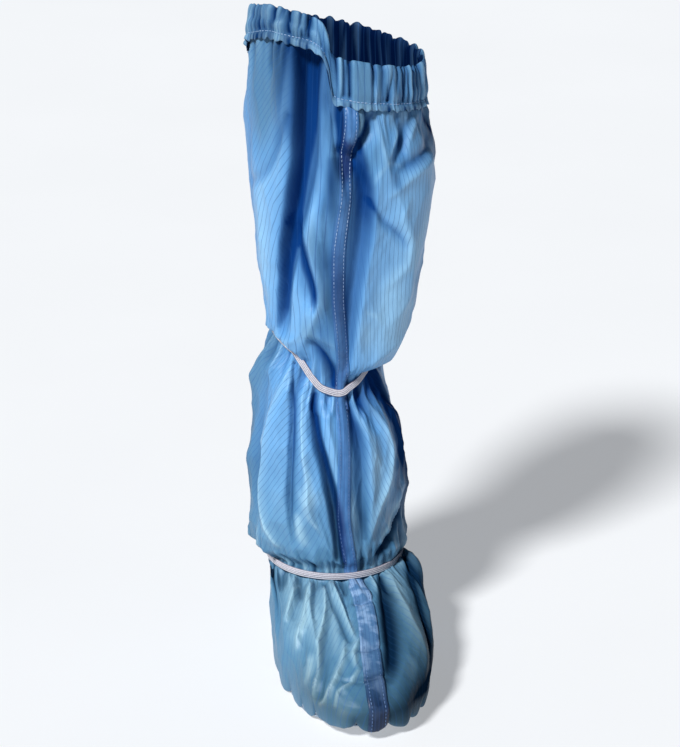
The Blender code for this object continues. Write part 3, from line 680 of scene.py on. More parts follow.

# How depths, in mm, turn into painted shade and light, and where painted shadow lies under the lap over the
# calf elastic and near the hem.
toneForm = {
    "footFolds": 0.35,  # painted fold shade on the foot is weaker, as its folds are shallower
    "darkDepth": 10, "fineFrom": 1.2, "foldShare": 0.7, "leafDark": 8, "leafMost": 0.4,
    "ridgeLight": 9, "leafLight": 5, "lightMost": 0.5, "footGathers": 0.6, "valleyLevel": 0.5,
    "lapFrom": (16, 34), "lapTo": (90, 120), "lapShade": 1.3, "lapReach": 30,
    "collarDuskShade": 0.3, "collarFrom": (430, 490),
}
eased = np.where(places < 0, toneForm["footFolds"], 1.0)[:, None]
deepFolds = np.maximum(mainDepth, 0) / toneForm["darkDepth"]
fineFolds = np.maximum(fineDepth - toneForm["fineFrom"], 0) / toneForm["darkDepth"]
# painted shade in the tucks between the puffs round the sole
tuckShade = (1 - lobe) * puffed * scallops["shade"]
foldShade = np.clip(eased * (deepFolds + fineFolds) + tuckShade, 0, 1)
underLap = smoothStep(degreesRound, *toneForm["lapFrom"]) * (1 - smoothStep(degreesRound, *toneForm["lapTo"]))
lapShade = toneForm["lapShade"] * np.exp(-((fromCalf / toneForm["lapReach"]) ** 2))
foldShade = np.clip(foldShade + underLap * np.where(fromCalf >= 0, lapShade, 0), 0, 1)

# Painted shade: dusky parts of the cloth where it faces away from the light or lies in shadow; place, turn,
# reach along and round, strength.
duskShadePatches = [
    (170, -88, 80, 18, 1.0), (245, -85, 30, 25, 0.9), (330, -8, 38, 6, 0.8), (425, -6, 40, 5, 0.7),
    (430, 96, 100, 18, 0.9), (330, 92, 60, 16, 0.8), (170, 88, 80, 18, 0.4), (-0.45, 62, 0.5, 26, 0.6),
    (-1.4, 20, 0.4, 70, 0.6), (520, -80, 30, 26, 0.7), (490, -60, 40, 20, 1.0), (505, -48, 34, 10, 0.8),
    (-0.5, 36, 0.4, 20, 0.7), (-1.05, 12, 0.38, 48, 0.8), (-0.95, -30, 0.3, 20, 0.5),
    (478, 9, 14, 8, 1.0), (474, 78, 24, 16, 0.6), (455, -58, 24, 12, 0.6), (450, 21, 14, 5, 0.6),
    (303, -24, 10, 8, 0.6), (378, -17, 16, 6, 0.6),
]
# Painted shade: place, turn, reach along and round, strength.
shadePatches = [
    (430, 90, 120, 9, 0.6), (320, 88, 50, 10, 0.4), (170, 84, 95, 16, 1.0), (-0.5, 78, 0.6, 16, 0.8),
    (255, 72, 20, 24, 0.8), (506, -42, 26, 9, 0.75), (465, -42, 20, 6, 0.5), (-1.0, 26, 0.35, 24, 0.85),
    (-0.85, 48, 0.4, 18, 0.6), (-1.3, 10, 0.3, 30, 0.3),
]
# Painted satin highlights: place, turn, reach along and round, strength.
lightPatches = [
    (375, 50, 45, 24, 0.45), (325, 46, 40, 26, 0.3), (308, 40, 28, 24, 0.75), (309, 18, 12, 7, 0.35),
    (184, 30, 26, 7, 0.35), (484, 42, 12, 18, 0.5), (-0.12, -46, 0.15, 14, 0.3), (205, -44, 34, 13, 0.2),
    (212, -29, 30, 8, 0.2), (150, -44, 30, 10, 0.15), (-0.18, -34, 0.28, 26, 0.35),
    (-0.5, -46, 0.2, 9, 0.25), (-0.32, -22, 0.2, 7, 0.35), (-0.1, 50, 0.16, 20, 0.2),
    (365, -66, 40, 14, 0.2),
]
# Painted shade in the folds and painted satin highlights on the ridges, laid out as creases: place, turn,
# half width, strength.
shadeLines = [
    fold((545, -33, 11, 1), (500, -22, 17, 1), (470, -22.5, 16, 1), (452, -24, 14, 1), (438, -27, 9, 1),
         (425, -30, 8, 1), (401, -34, 8, 1), (380, -38, 8, 1), (347, -45, 5.5, 1), (307, -51.5, 4.2, .9),
         (290, -55, 2, .4), power=4),
    fold((387, -35, 7, .9), (371, -30, 8.5, 1), (355, -26.3, 7.5, 1), (341, -22, 6.5, 1),
         (331, -20.3, 4.5, 1), (322, -20, 2, .3), power=4),
    fold((457, -35, 3, .3), (447, -40, 5, .4), (437, -46, 4, .35), (425, -55, 3, .3), (415, -65, 3, .2)),
    fold((494, -2, 4, .9), (482, -1, 5, 1), (470, 0, 4.5, 1), (456, 0, 4, 1), power=3),
    fold((450, -9, 6, .25), (432, -9, 7, .35), (411, -10.5, 7, .4), (398, -10.5, 5, .15)),
    fold((491, 21, 2, .6), (474, 16, 4, 1), (460, 9, 4, 1)),
    fold((458, 2.5, 6, 1), (444, 2.5, 6.5, 1), (434, 2.5, 5, 1), (424, 2.5, 3, .4), power=3),
    fold((464, 10, 4, .8), (440, 11, 8, 1), (425, 13, 9, .97), (405, 14, 9, .93), (391, 13.5, 9, .78),
         (363, 11.5, 8, .68), (331, 8, 7, .64), (300, 7, 5, .55), (275, 6, 3, .3), power=4),
    fold((445, -5, 5, .5), (430, -5, 5, .6), (391, -5, 5, .4), (365, -4, 7, .6), (345, -3.5, 9, .75),
         (322, -3, 9, .65), (305, -2, 6, .2), power=3),
    fold((495, 52, 3, .3), (485, 49, 4, .4), (475, 44, 4, .5), (467, 40.5, 4, .65), (459, 37, 4, .7),
         (448, 32.5, 4, .4)),
    fold((490, 62, 3, .4), (483, 67, 4, .7), (473, 76, 4, .9), (465, 82, 4, .9)),
    fold((460, 76, 5, .5), (454, 60, 5, .6), (448, 48, 5, .65), (444, 41, 5, .6), (441, 35, 3, .4)),
    fold((441, 29, 4, .3), (431, 32, 5, .4), (424, 34, 3, .2)),
    fold((415, 17, 2, .4), (399, 25, 2.2, .5), (389, 34, 2.5, .5), (383, 38, 2, .4), (377, 40, 2, .2)),
    fold((376, -13, 5, .3), (362, -12, 6, .45), (352, -11.5, 4, .2)),
    fold((313, -15, 7, .25), (304, -14, 8, .4), (297, -12, 7, .3)),
    fold((293, -23, 4, .7), (285, -14, 7, 1), (276, -8, 6.5, 1), (265, -4, 4, 1)),
    fold((240, -40, 2, .7), (223, -37, 2.6, .9), (191, -36, 2.8, .9), (159, -36.3, 2.6, .8),
         (139, -35.7, 2, .8), (125, -34.7, 1.5, .5), lean=0.6),
    fold((248, -21, 3, .8), (237, -19.5, 3.8, 1), (211, -16, 4, 1), (185, -10.5, 4, 1), (159, -5, 4.4, 1),
         (133, -1, 4.8, 1), (108, 0.8, 4.6, 1), (90, 2, 3.5, .9), power=4),
    fold((250, 14, 3, .7), (233, 15.5, 5, .95), (217, 17, 7, .85), (190, 17, 7, .65),
         (160, 17.3, 6.5, .55), (143, 18.7, 5, .6), (127, 19.7, 4, .75), (110, 20.5, 3, .5), power=4),
    fold((220, 60, 5, .4), (180, 58, 7, .7), (155, 55, 6, .6), (138, 49, 4, .3)),
    fold((252, 58, 6, 1), (235, 66, 7, 1), (213, 71, 7, 1), (187, 72, 7, .9), (160, 70, 6, .5),
         (140, 68, 4, 0), power=3),
    fold((128, 74, 4, 0), (119, 64, 6, .8), (104, 48, 7, 1), (90, 35, 5, 1), power=2.5),
    fold((-.02, 34, 3, .6), (-.10, 29, 5, .9), (-.18, 25, 7.5, 1), (-.34, 18, 9, 1), (-.52, 13, 8, .9),
         (-.66, 10, 5, .4), power=3, lean=0.2),
    fold((-.05, 70, 3, .7), (-.24, 57, 4, 1), (-.42, 49, 4, 1), (-.62, 44, 4, .9)),
    fold((-.05, -32, 2, .15), (-.20, -38, 3.5, .2), (-.40, -45, 2, .1)),
    fold((-.05, -20, 1.6, .2), (-.16, -23, 1.8, .2), (-.26, -23, 1.5, .1)),
    fold((-.30, -14, 3, .15), (-.45, -17, 5, .3), (-.62, -18, 5, .35), (-1.0, -24, 3, .25)),
    fold((-.02, -13, 1.2, .5), (-.22, -6, 1.6, .6), (-.38, -3, 1.5, .3)),
]
satinHighlightLines = [
    fold((405, -60, 14, .6), (360, -64, 14, .7), (320, -66, 10, .6), (298, -68, 8, .4)),
    fold((520, -40, 2.5, .3), (470, -36.5, 3, .4), (440, -40, 4, .5), (425, -47, 4, .4),
         (412, -58, 4, .3)),
    fold((455, -14, 3, .3), (425, -16, 4, .45), (400, -19, 4, .5), (375, -22, 4, .4), (355, -18, 3, .4),
         (330, -14, 3, .4)),
    fold((325, -16, 3, .5), (312, -21, 3.5, .6), (302, -27, 3, .5), (291, -33, 3, .4)),
    fold((345, -37, 5, .2), (325, -36, 9, .3), (298, -38, 9, .35)),
    fold((420, 28.5, 3, .5), (429, 37, 5, .7), (437, 45, 5.5, .7), (443, 59, 6, .6), (448, 74, 5, .5)),
    fold((417, 42, 4, .5), (403, 35.5, 4, .5), (389, 40, 4, .5), (377, 43.5, 4, .5), (363, 43, 4.5, .5),
         (356, 37, 6, .5), (345, 33, 9, .6), (330, 33, 9, .6), (322, 31, 6, .4)),
    fold((485, 22, 2, .4), (465, 24, 2.5, .6), (447, 25.7, 2.2, .7), (439, 21.8, 2.2, .7),
         (429, 18.5, 2, .5), (420, 18.5, 2, .4)),
    fold((447, 27, 1.6, .6), (445, 33, 1.8, .6), (441, 37, 1.6, .4)),
    fold((478, 38, 1.8, .5), (467, 34.5, 2, .7), (454, 29, 2, .6)),
    fold((484, 57, 1.6, .5), (469, 46, 1.8, .7), (455, 40.5, 1.8, .6)),
    fold((326, 18, 2, .4), (322, 31, 2.5, .5), (325, 43, 2.5, .5), (326, 62, 2, .4)),
    fold((268, -36, 2, .6), (270, -48, 2.5, 1), (270, -62, 2.5, .9), (268, -80, 2, .4)),
    fold((405, 60, 6, .4), (380, 51, 6, .5), (362, 46, 5, .5)),
    fold((241, -43, 3, .5), (203, -57, 2.5, .7), (169, -60, 2.2, .9), (139, -59, 2.2, .9),
         (115, -52, 2, .9), (99, -44, 2, .5)),
    fold((238, -30, 2.5, .6), (207, -27, 3, .8), (183, -24, 3, .8), (166, -21.5, 4, .9), (152, -22, 8, 1),
         (138, -22, 5, .6), (124, -16, 2, .7)),
    fold((130, -29, 4, .9), (119, -28, 5, .9), (108, -24, 3.5, .5)),
    fold((225, -8, 4, .3), (187, -5.5, 4, .4), (168, -3.5, 3, .3)),
    fold((256, 40, 2, .6), (245, 37, 2.5, .7), (225, 45, 2.5, .8), (199, 47, 3, .9), (173, 44, 3.5, .9),
         (149, 37, 3.5, .7), (133, 30, 3, .4)),
    fold((155, 9, 3, .5), (138, 11.5, 4, .7), (120, 14.5, 3, .4)),
    fold((248, 22, 2, .5), (233, 24, 2.5, .7), (212, 30, 6, .5), (185, 32, 8, .5), (155, 31, 7, .45),
         (135, 29, 4, .2)),
    fold((142, 61, 2, .6), (127, 54, 2, .8), (115, 43, 2, .8), (104, 37, 2, .5)),
    fold((-.06, -36, 1.5, .4), (-.18, -43, 1.8, .6), (-.32, -48.5, 2, .7), (-.46, -52, 2, .4)),
    fold((-.08, -28, 2, .5), (-.22, -30, 3, .7), (-.36, -33, 4, .7), (-.50, -40, 3, .6),
         (-.62, -44, 2.5, .3)),
    fold((-.62, -29, 5, .6), (-.74, -31, 5, .7), (-.84, -34, 4, .4)),
    fold((-.03, -14, 1.5, .5), (-.16, -14, 1.6, .7), (-.30, -17, 1.6, .8), (-.44, -20.5, 1.8, .9),
         (-.66, -22, 2, .7), (-.86, -25.5, 2, .5), (-1.1, -26, 2, .3)),
    fold((-1.1, -23, 2, .5), (-.94, -18, 2, .7), (-.80, -15, 2, .7), (-.66, -11, 2.5, .8),
         (-.46, -6, 3, .7), (-.38, -5, 2, .3)),
    fold((-.03, -7, 1.5, .4), (-.10, -4.5, 2.2, .7), (-.18, -2.5, 2.6, .8), (-.30, -1, 2.4, .7),
         (-.36, 0, 2, .4)),
    fold((-.06, -9, 3, .3), (-.20, -9, 4, .45), (-.34, -9, 4, .4), (-.46, -10, 3, .2)),
    fold((-.38, 0.5, 2.2, .6), (-.46, -2, 2.6, .8), (-.54, -2, 2, .5)),
    fold((-.58, -1.5, 1.6, .5), (-.66, -5, 1.8, .7), (-.80, -10.5, 1.8, .7), (-.95, -12, 1.8, .4)),
    fold((-.98, -10, 5, .2), (-1.1, -9, 7, .4), (-1.3, -9, 5, .2)),
    fold((-.06, 41, 3, .3), (-.24, 37, 4, .5), (-.42, 35, 4, .5), (-.60, 35, 4, .4), (-.72, 32, 4, .3)),
    fold((-.60, 24, 4, .2), (-.70, 22, 6, .4), (-.80, 20, 4, .2)),
]


def patchTone(patches):
    tone = np.zeros_like(turns)
    for place, turn, along, spread, strength in patches:
        offTurn = (degreesRound - turn + 180) % 360 - 180
        tone += strength * np.exp(-(((places[:, None] - place) / along) ** 2) - (offTurn / spread) ** 2)
    return np.clip(tone, 0, 1)


# painted shade: the dusky patches and a band near the hem, under the frill
duskShade = patchTone(duskShadePatches) + toneForm["collarDuskShade"] * smoothStep(places, *toneForm["collarFrom"])[:, None]
duskShade = np.clip(duskShade, 0, 1)
drawnShade = np.clip(creaseField(baseGrid, baseNormals, shadeLines), 0, 1)
drawnLight = np.clip(creaseField(baseGrid, baseNormals, satinHighlightLines) + patchTone(lightPatches), 0, 1)
# painted shade in deep folds and leaves, painted satin light on the ridges
foldShade = np.maximum(toneForm["foldShare"] * foldShade, drawnShade) + patchTone(shadePatches)
foldShade = np.clip(foldShade, 0, 1)
foldShade = np.clip(foldShade + np.clip(leafDepth / toneForm["leafDark"], 0, toneForm["leafMost"]), 0, 1)
leafLight = np.maximum(-leafDepth, 0) / toneForm["leafLight"]
ridgeLight = np.maximum(-mainDepth, 0) / toneForm["ridgeLight"]
ridgeLight = np.clip(ridgeLight + leafLight, 0, toneForm["lightMost"])
foldLight = np.clip(np.maximum(ridgeLight, drawnLight), 0, 1) * (1 - foldShade)
onFoot = np.where(places < 0, toneForm["footGathers"], 1.0)[:, None]
# painted shade in the gathers' valleys and painted light on their lobes, near the hem and the elastics
for away, band in ((fromHem, "hem"), (fromCalf, "calf"), (fromAnkle, "ankle")):
    valley = puckers(turns, gathers["tonedLobes"], seeds[band] + 1)
    close = gathers["toneStrength"] * np.exp(-np.abs(away) / gathers["toneReach"]) * onFoot
    foldShade = np.clip(foldShade + close * valley, 0, 1)
    foldLight = np.clip(foldLight + close * (toneForm["valleyLevel"] - valley), 0, 1)
print("cloth shaped:", clothGrid.shape)


# painted shadow on the cover's inside: full dimming and no painted light
innerTones = {"foldShade": 0.7, "foldLight": 0.0, "duskShade": 1.0, "inside": 1.0}


def addObject(name, data):
    made = bpy.data.objects.new(name, data)
    bpy.context.scene.collection.objects.link(made)
    return made


def faceCorners(grid, ring=True):
    # the four corner values of each face between the rows
    own = grid if ring else grid[:, :-1]
    beside = np.roll(grid, -1, axis=1) if ring else grid[:, 1:]
    return np.stack([own[:-1], own[1:], beside[1:], beside[:-1]], axis=2)


def shellMesh(name, outer, inner, ring, cornerMap, **tones):
    # closed solid between two grids, in metres; rows run down, columns to the right
    rows, columns = outer.shape[:2]
    index = np.arange(rows * columns).reshape(rows, columns)
    side = np.roll(index, -1, axis=1) if ring else index[:, 1:]
    own = index if ring else index[:, :-1]
    inside = rows * columns
    front = faceCorners(index, ring).reshape(-1, 4)
    faces = [front, front[:, [0, 3, 2, 1]] + inside]
    faces.append(np.stack([own[0], side[0], side[0] + inside, own[0] + inside], axis=1))
    faces.append(np.stack([own[-1], own[-1] + inside, side[-1] + inside, side[-1]], axis=1))
    if not ring:
        first, last = index[:, 0], index[:, -1]
        faces.append(np.stack([first[:-1], first[:-1] + inside, first[1:] + inside, first[1:]], axis=1))
        faces.append(np.stack([last[:-1], last[1:], last[1:] + inside, last[:-1] + inside], axis=1))
    points = np.concatenate([outer.reshape(-1, 3), inner.reshape(-1, 3)]) * mm
    allFaces = np.concatenate(faces)
    mesh = bpy.data.meshes.new(name)
    mesh.from_pydata(points.tolist(), [], allFaces.tolist())
    layer = mesh.uv_layers.new(name="clothMap")
    rest = np.zeros((len(allFaces) - 2 * len(front), 4, 2))
    uv = np.concatenate([cornerMap, cornerMap[:, [0, 3, 2, 1]], rest])
    layer.data.foreach_set("uv", uv.astype(np.float32).ravel())
    for key, tone in tones.items():
        layer = mesh.attributes.new(key, "FLOAT", "POINT")
        behind = np.full_like(tone, innerTones[key]) if key in innerTones else tone
        layer.data.foreach_set("value", np.concatenate([tone.ravel(), behind.ravel()]).astype(np.float32))
    mesh.shade_smooth()
    return addObject(name, mesh)


# The conductive stripes lean differently on each panel and lie closer where the cloth is gathered. Each
# panel has its lean, in metres across for each metre down, and its closeness.
stripePanels = {
    "upperOuter": ([0.0, 0.09, 0.16, 0.30], [0.95, 0.75, 0.42, 0.30]),  # metres down and the lean there
    "upperOuterClose": 1.0,
    "upperInner": (0.10, 1.6),
    "upperMiddle": (0.0, 0.8),
    "lowerOuter": (0.75, 1.5),
    "lowerMiddle": (0.70, 1.5),
    "lowerSeam": (0.0, 1.2),
    "lowerInner": (0.45, 1.6),
    "footOuter": (0.40, 1.3),
    "footInner": (0.45, 1.3),
    "upperEdge": ([540, 500, 455, 423, 395, 360, 307, 270], [-40, -31, -31, -36, -42, -48, -56, -56]),
    "lowerEdge": ([250, 226, 192, 158, 132, 90], [-45, -39, -38, -39, -37, -33]),
    "lowerSeamEdge": ([250, 226, 199, 167, 141, 115, 80], [-20, -18, -13, -7.5, -4, -2.5, -2.5]),
}


def edgeTurn(key, place):
    return smoothCurve(place, *stripePanels[key])


def stripeMap():
    # for each face corner: distance across the stripes and down the cloth, in metres
    perSide = clothMesh["columnsPerSide"]
    down = faceCorners(downLength * mm)
    below = {"upper": down, "lower": faceCorners(fromCalf * mm), "foot": faceCorners(fromAnkle * mm)}
    across = faceCorners(np.broadcast_to(ringAcross(perSide) * mm, downLength.shape))
    middle = np.degrees(wrapTurn(turns + 0.5 * wrapTurn(np.roll(turns, -1, 1) - turns)))[:-1]
    place = np.broadcast_to(0.5 * (places[:-1] + places[1:])[:, None], middle.shape)
    outer = np.broadcast_to(np.arange(2 * perSide) >= perSide, middle.shape)
    upper, foot = place > clothMesh["calfBand"], place < clothMesh["ankleBand"]
    lower = ~upper & ~foot
    knots, leans = (np.array(row) for row in stripePanels["upperOuter"])
    bend = np.concatenate([[0], np.cumsum(0.5 * (leans[1:] + leans[:-1]) * np.diff(knots))])
    found = across * stripePanels["upperOuterClose"] - np.interp(down, knots, bend)
    for mask, band, key in (
        (upper & ~outer, "upper", "upperInner"),
        (upper & outer & (middle > edgeTurn("upperEdge", place)), "upper", "upperMiddle"),
        (lower & outer, "lower", "lowerOuter"),
        (lower & outer & (middle > edgeTurn("lowerEdge", place)), "lower", "lowerMiddle"),
        (lower & outer & (middle > edgeTurn("lowerSeamEdge", place)), "lower", "lowerSeam"),
        (lower & ~outer, "lower", "lowerInner"),
        (foot & outer, "foot", "footOuter"),
        (foot & ~outer, "foot", "footInner"),
    ):
        lean, close = stripePanels[key]
        found = np.where(mask[..., None], across * close - below[band] * lean, found)
    return np.stack([found, down], axis=3)


def setInputs(tree, node, values):
    for socket, value in values.items():
        if isinstance(value, bpy.types.NodeSocket):
            tree.links.new(value, node.inputs[socket])
        else:
            node.inputs[socket].default_value = value


def addNode(tree, kind, values=None, **settings):
    made = tree.nodes.new(kind)
    for key, value in settings.items():
        setattr(made, key, value)
    setInputs(tree, made, values or {})
    return made


def newMaterial(name):
    material = bpy.data.materials.new(name)
    material.use_nodes = True
    tree = material.node_tree
    return material, tree, tree.nodes["Principled BSDF"]


def mixColour(tree, factor, first, second, blend="MIX"):
    sockets = {0: factor, 6: first, 7: second}
    return addNode(tree, "ShaderNodeMix", sockets, data_type="RGBA", blend_type=blend).outputs[2]


def mapRange(tree, value, low, high, toLow, toHigh, smooth=False):
    kind = "SMOOTHSTEP" if smooth else "LINEAR"
    sockets = {"Value": value, "From Min": low, "From Max": high, "To Min": toLow, "To Max": toHigh}
    return addNode(tree, "ShaderNodeMapRange", sockets, interpolation_type=kind).outputs["Result"]


def noiseOn(tree, scale, detail, stretch=(1, 1, 1)):
    place = addNode(tree, "ShaderNodeTexCoord").outputs["Object"]
    moved = addNode(tree, "ShaderNodeMapping", {"Vector": place, "Scale": stretch}).outputs["Vector"]
    values = {"Vector": moved, "Scale": scale, "Detail": detail}
    return addNode(tree, "ShaderNodeTexNoise", values).outputs["Fac"]


def addBump(tree, height, distance, strength, before=None):
    links = {"Height": height, "Distance": distance, "Strength": strength}
    if before is not None:
        links["Normal"] = before
    return addNode(tree, "ShaderNodeBump", links).outputs["Normal"]


def mathOn(tree, operation, first, second=0.0):
    return addNode(tree, "ShaderNodeMath", {0: first, 1: second}, operation=operation).outputs[0]


def attributeOn(tree, name):
    return addNode(tree, "ShaderNodeAttribute", attribute_name=name).outputs["Fac"]


def heightOn(tree):
    place = addNode(tree, "ShaderNodeTexCoord").outputs["Object"]
    return addNode(tree, "ShaderNodeSeparateXYZ", {"Vector": place}).outputs["Z"]


def clothMapOn(tree):
    uv = addNode(tree, "ShaderNodeUVMap", uv_map="clothMap").outputs["UV"]
    split = addNode(tree, "ShaderNodeSeparateXYZ", {"Vector": uv})
    return split.outputs["X"], split.outputs["Y"]


def mottleOn(tree, scale, detail, low, high, toLow=0, toHigh=1, smooth=False):
    return mapRange(tree, noiseOn(tree, scale, detail), low, high, toLow, toHigh, smooth)


def bumpsOn(tree, rows):
    # noise bumps one on the other: scale, detail, depth and strength of each
    normal = None
    for scale, detail, distance, strength in rows:
        normal = addBump(tree, noiseOn(tree, scale, detail), distance, strength, normal)
    return normal


def mottledMaterial(name, look):
    # two tones mixed by noise, darker low down where the look says so
    material, tree, shader = newMaterial(name)
    tone = mixColour(tree, mottleOn(tree, *look["mottle"]), look["first"], look["second"])
    if "low" in look:
        low = mapRange(tree, heightOn(tree), *look["lowHeights"], 0, 1, True)
        tone = mixColour(tree, low, tone, look["low"], "MULTIPLY")
    setInputs(tree, shader, {"Base Color": tone, **look["shader"]})
    if "rough" in look:
        setInputs(tree, shader, {"Roughness": mottleOn(tree, *look["rough"])})
    if "bumps" in look:
        setInputs(tree, shader, {"Normal": bumpsOn(tree, look["bumps"])})
    return material


# Noise is given as scale, detail and the range that is used, then the values that it is spread over.
clothLook = {
    # The navy, dusk and inside colours darken the cloth as painted shade and shadow; the light colours are
    # painted satin highlights.
    "blue": (0.098, 0.308, 0.625, 1), "paleBlue": (0.126, 0.355, 0.685, 1), "light": (0.255, 0.505, 0.760, 1),
    "teal": (0.075, 0.210, 0.345, 1), "lightTeal": (0.350, 0.560, 0.660, 1),
    "shadeNavy": (0.030, 0.110, 0.260, 1), "lowShadeNavy": (0.040, 0.080, 0.130, 1),
    "duskShade": (0.72, 0.62, 0.55, 1), "inside": (0.25, 0.30, 0.42, 1),
    "mottle": (14, 3, 0.35, 0.65), "lowHeights": (0.24, 0.06), "lowMost": 0.95,
    "stripe": (0.030, 0.105, 0.290, 1), "stripePitch": 0.0056, "stripeHalf": 0.00036,
    "stripeEdge": (0.5, 1.5), "stripeStrength": 0.6,
    "footStripes": 0.65, "footFrom": (0.3, 0.95), "shadedStripes": 0.25, "shadedFrom": (0.2, 0.9),
    "rough": (40, 5, 0.3, 0.7, 0.36, 0.50), "weave": 0.0007, "weaveDepth": 0.00004, "weaveStrength": 0.5,
    "crumple": (95, 4, (1, 1, 0.45)), "crumpleDepth": 0.0020, "crumpleStrength": 0.55, "satin": 0.3,
    "gloss": (0.55, 0.0), "duskShadeGloss": 0.3,  # on lit cloth and in painted fold shade, and the share left where dusky painted shade lies
    "glossTint": (0.90, 0.97, 1.0, 1), "shadeTint": (0.15, 0.45, 1.0, 1),
}


def clothMaterial():
    look = clothLook
    material, tree, shader = newMaterial("stripedPolyester")
    across, down = clothMapOn(tree)
    keys = ("foldLight", "foldShade", "duskShade", "inside")
    light, shade, duskShaded, insideShadow = (attributeOn(tree, key) for key in keys)
    # the cloth turns darker and more teal towards the bottom
    low = mapRange(tree, heightOn(tree), *look["lowHeights"], 0, look["lowMost"], True)
    tone = mixColour(tree, mottleOn(tree, *look["mottle"]), look["blue"], look["paleBlue"])
    tone = mixColour(tree, low, tone, look["teal"])
    tone = mixColour(tree, light, tone, mixColour(tree, low, look["light"], look["lightTeal"]))
    tone = mixColour(tree, shade, tone, mixColour(tree, low, look["shadeNavy"], look["lowShadeNavy"]), "MULTIPLY")
    tone = mixColour(tree, duskShaded, tone, look["duskShade"], "MULTIPLY")
    tone = mixColour(tree, insideShadow, tone, look["inside"], "MULTIPLY")
    gap = mathOn(tree, "PINGPONG", across, look["stripePitch"] / 2)
    solid, gone = (look["stripeHalf"] * share for share in look["stripeEdge"])
    line = mapRange(tree, gap, solid, gone, look["stripeStrength"], 0, True)
    onFoot = mapRange(tree, low, *look["footFrom"], 1, look["footStripes"])
    inShade = mapRange(tree, shade, *look["shadedFrom"], 1, look["shadedStripes"])
    line = mathOn(tree, "MULTIPLY", mathOn(tree, "MULTIPLY", line, onFoot), inShade)
    tone = mixColour(tree, line, tone, look["stripe"])
    turnsPer = tau / look["weave"]
    warp, weft = (mathOn(tree, "SINE", mathOn(tree, "MULTIPLY", way, turnsPer)) for way in (across, down))
    weave = addBump(tree, mathOn(tree, "MULTIPLY", warp, weft), look["weaveDepth"], look["weaveStrength"])
    crumple = noiseOn(tree, *look["crumple"])
    gloss = mapRange(tree, shade, 0, 1, *look["gloss"])
    duskShadeGloss = mapRange(tree, duskShaded, 0, 1, 1, look["duskShadeGloss"])
    tangent = addNode(tree, "ShaderNodeTangent", direction_type="UV_MAP", uv_map="clothMap")
    setInputs(tree, shader, {
        "Base Color": tone,
        "Roughness": mottleOn(tree, *look["rough"]),
        "Normal": addBump(tree, crumple, look["crumpleDepth"], look["crumpleStrength"], weave),
        "Tangent": tangent.outputs["Tangent"],
        "Anisotropic": look["satin"],
        "Specular IOR Level": mathOn(tree, "MULTIPLY", gloss, duskShadeGloss),
        "Specular Tint": mixColour(tree, shade, look["glossTint"], look["shadeTint"]),
    })
    return material


def finishPiece(piece, material, slot, *nodes):
    if material is not None:
        piece.data.materials.clear()
        piece.data.materials.append(material)
    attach(piece, "root")
    if nodes:
        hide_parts(*nodes)
    print(piece.name, "triangles:", sum(len(face.vertices) - 2 for face in piece.data.polygons))


cloth = clothMaterial()
innerGrid = clothGrid - clothNormals * clothMesh["wall"]
corners = stripeMap()
clothTones = {"foldShade": foldShade, "foldLight": foldLight, "duskShade": duskShade, "inside": np.zeros_like(duskShade)}
for name, first, last in (
    ("shaftCloth", hemRow - clothMesh["hemTuck"], calfRow),
    ("shinCloth", calfRow, ankleRow),
    ("footCloth", ankleRow, len(places) - 1),
):
    rows = slice(first, last + 1)
    cornerMap = corners[first:last].reshape(-1, 4, 2)
    tones = {key: tone[rows] for key, tone in clothTones.items()}
    piece = shellMesh(name, clothGrid[rows], innerGrid[rows], True, cornerMap, **tones)
    finishPiece(piece, cloth, "cloth", "upper")


# The doubled hem: ribs gathered on an elastic, with a flat patch at the seam, rolled over the rim.
casing = {
    "columnsPerSide": 320, "wall": 0.5, "mmPerDegree": 1.18, "facingRows": 9, "creaseShare": 0.25,
    "clear": 0.4, "insideRibs": 0.35, "outside": (-1.0, 1.6),
    "ribs": 96, "ribSeed": 71, "ribJitter": 0.45, "ribWidth": (0.9, 2.4), "ribDepth": (1.0, 3.6),
    "ribLean": 4, "ribReach": (0.45, 1.3), "ribPower": 1.3, "ribFade": 0.7,
    "puffs": (18, 46), "puffDepth": 0.8, "puffSeed": 74,
    "pinches": 150, "pinchDepth": 1.3, "pinchReach": 0.10, "pinchSeed": 78,
    "flatFrom": 7.5, "flatTo": 18.5, "flatEase": 2, "flatShare": 0.85, "flatLight": 0.8, "flatDuskShade": 0.3,
    "deepTurns": [59, 54, 49, 44, 20.5, 6, 2, -22, -70], "deepWidth": 1.3, "deepDepth": 2.4,
    # share of the hem's height and mm out from the cloth: the frill under the stitches, the rim, the inside
    "path": [(-.12, 2.8), (-.06, 2.2), (.02, 1.2), (.06, 1.2), (.12, 1.8), (.20, 2.6), (.32, 3.0),
             (.5, 2.9), (.68, 3.0), (.80, 3.2), (.90, 3.0), (.97, 2.4), (1.02, 1.4), (1.045, .3),
             (1.03, -.8), (.97, -1.6), (.88, -1.9), (.74, -1.8), (.5, -1.6), (.25, -1.4), (.02, -1.2)],
    "pathSteps": 40, "stitchAt": 0.02, "stitchStand": 0.3, "sewnAt": 0.03, "sewnReach": 0.06, "sewnCap": 2.0,
    "frillDeeper": 0.8, "frillFrom": (-0.02, 0.08), "looseFrom": (-0.02, 0.03),
    "frillStand": 0.9, "frillLight": 0.6,
    "ruffle": 0.7, "ruffleWaves": (24, 70), "ruffleFrom": (0.0, 0.1), "ruffleSeed": 82,
    "rimSag": 0.5, "rimFrom": (0.85, 1.0),
    "shadeFrom": 0.8, "shadeDepth": 3.6, "lightLevel": 0.6, "lightDepth": 3, "lightMost": 0.55, "duskShade": 0.6,
    "drawnFrom": (14, 30), "drawnTo": (95, 130), "drawnShade": 0.3,
}


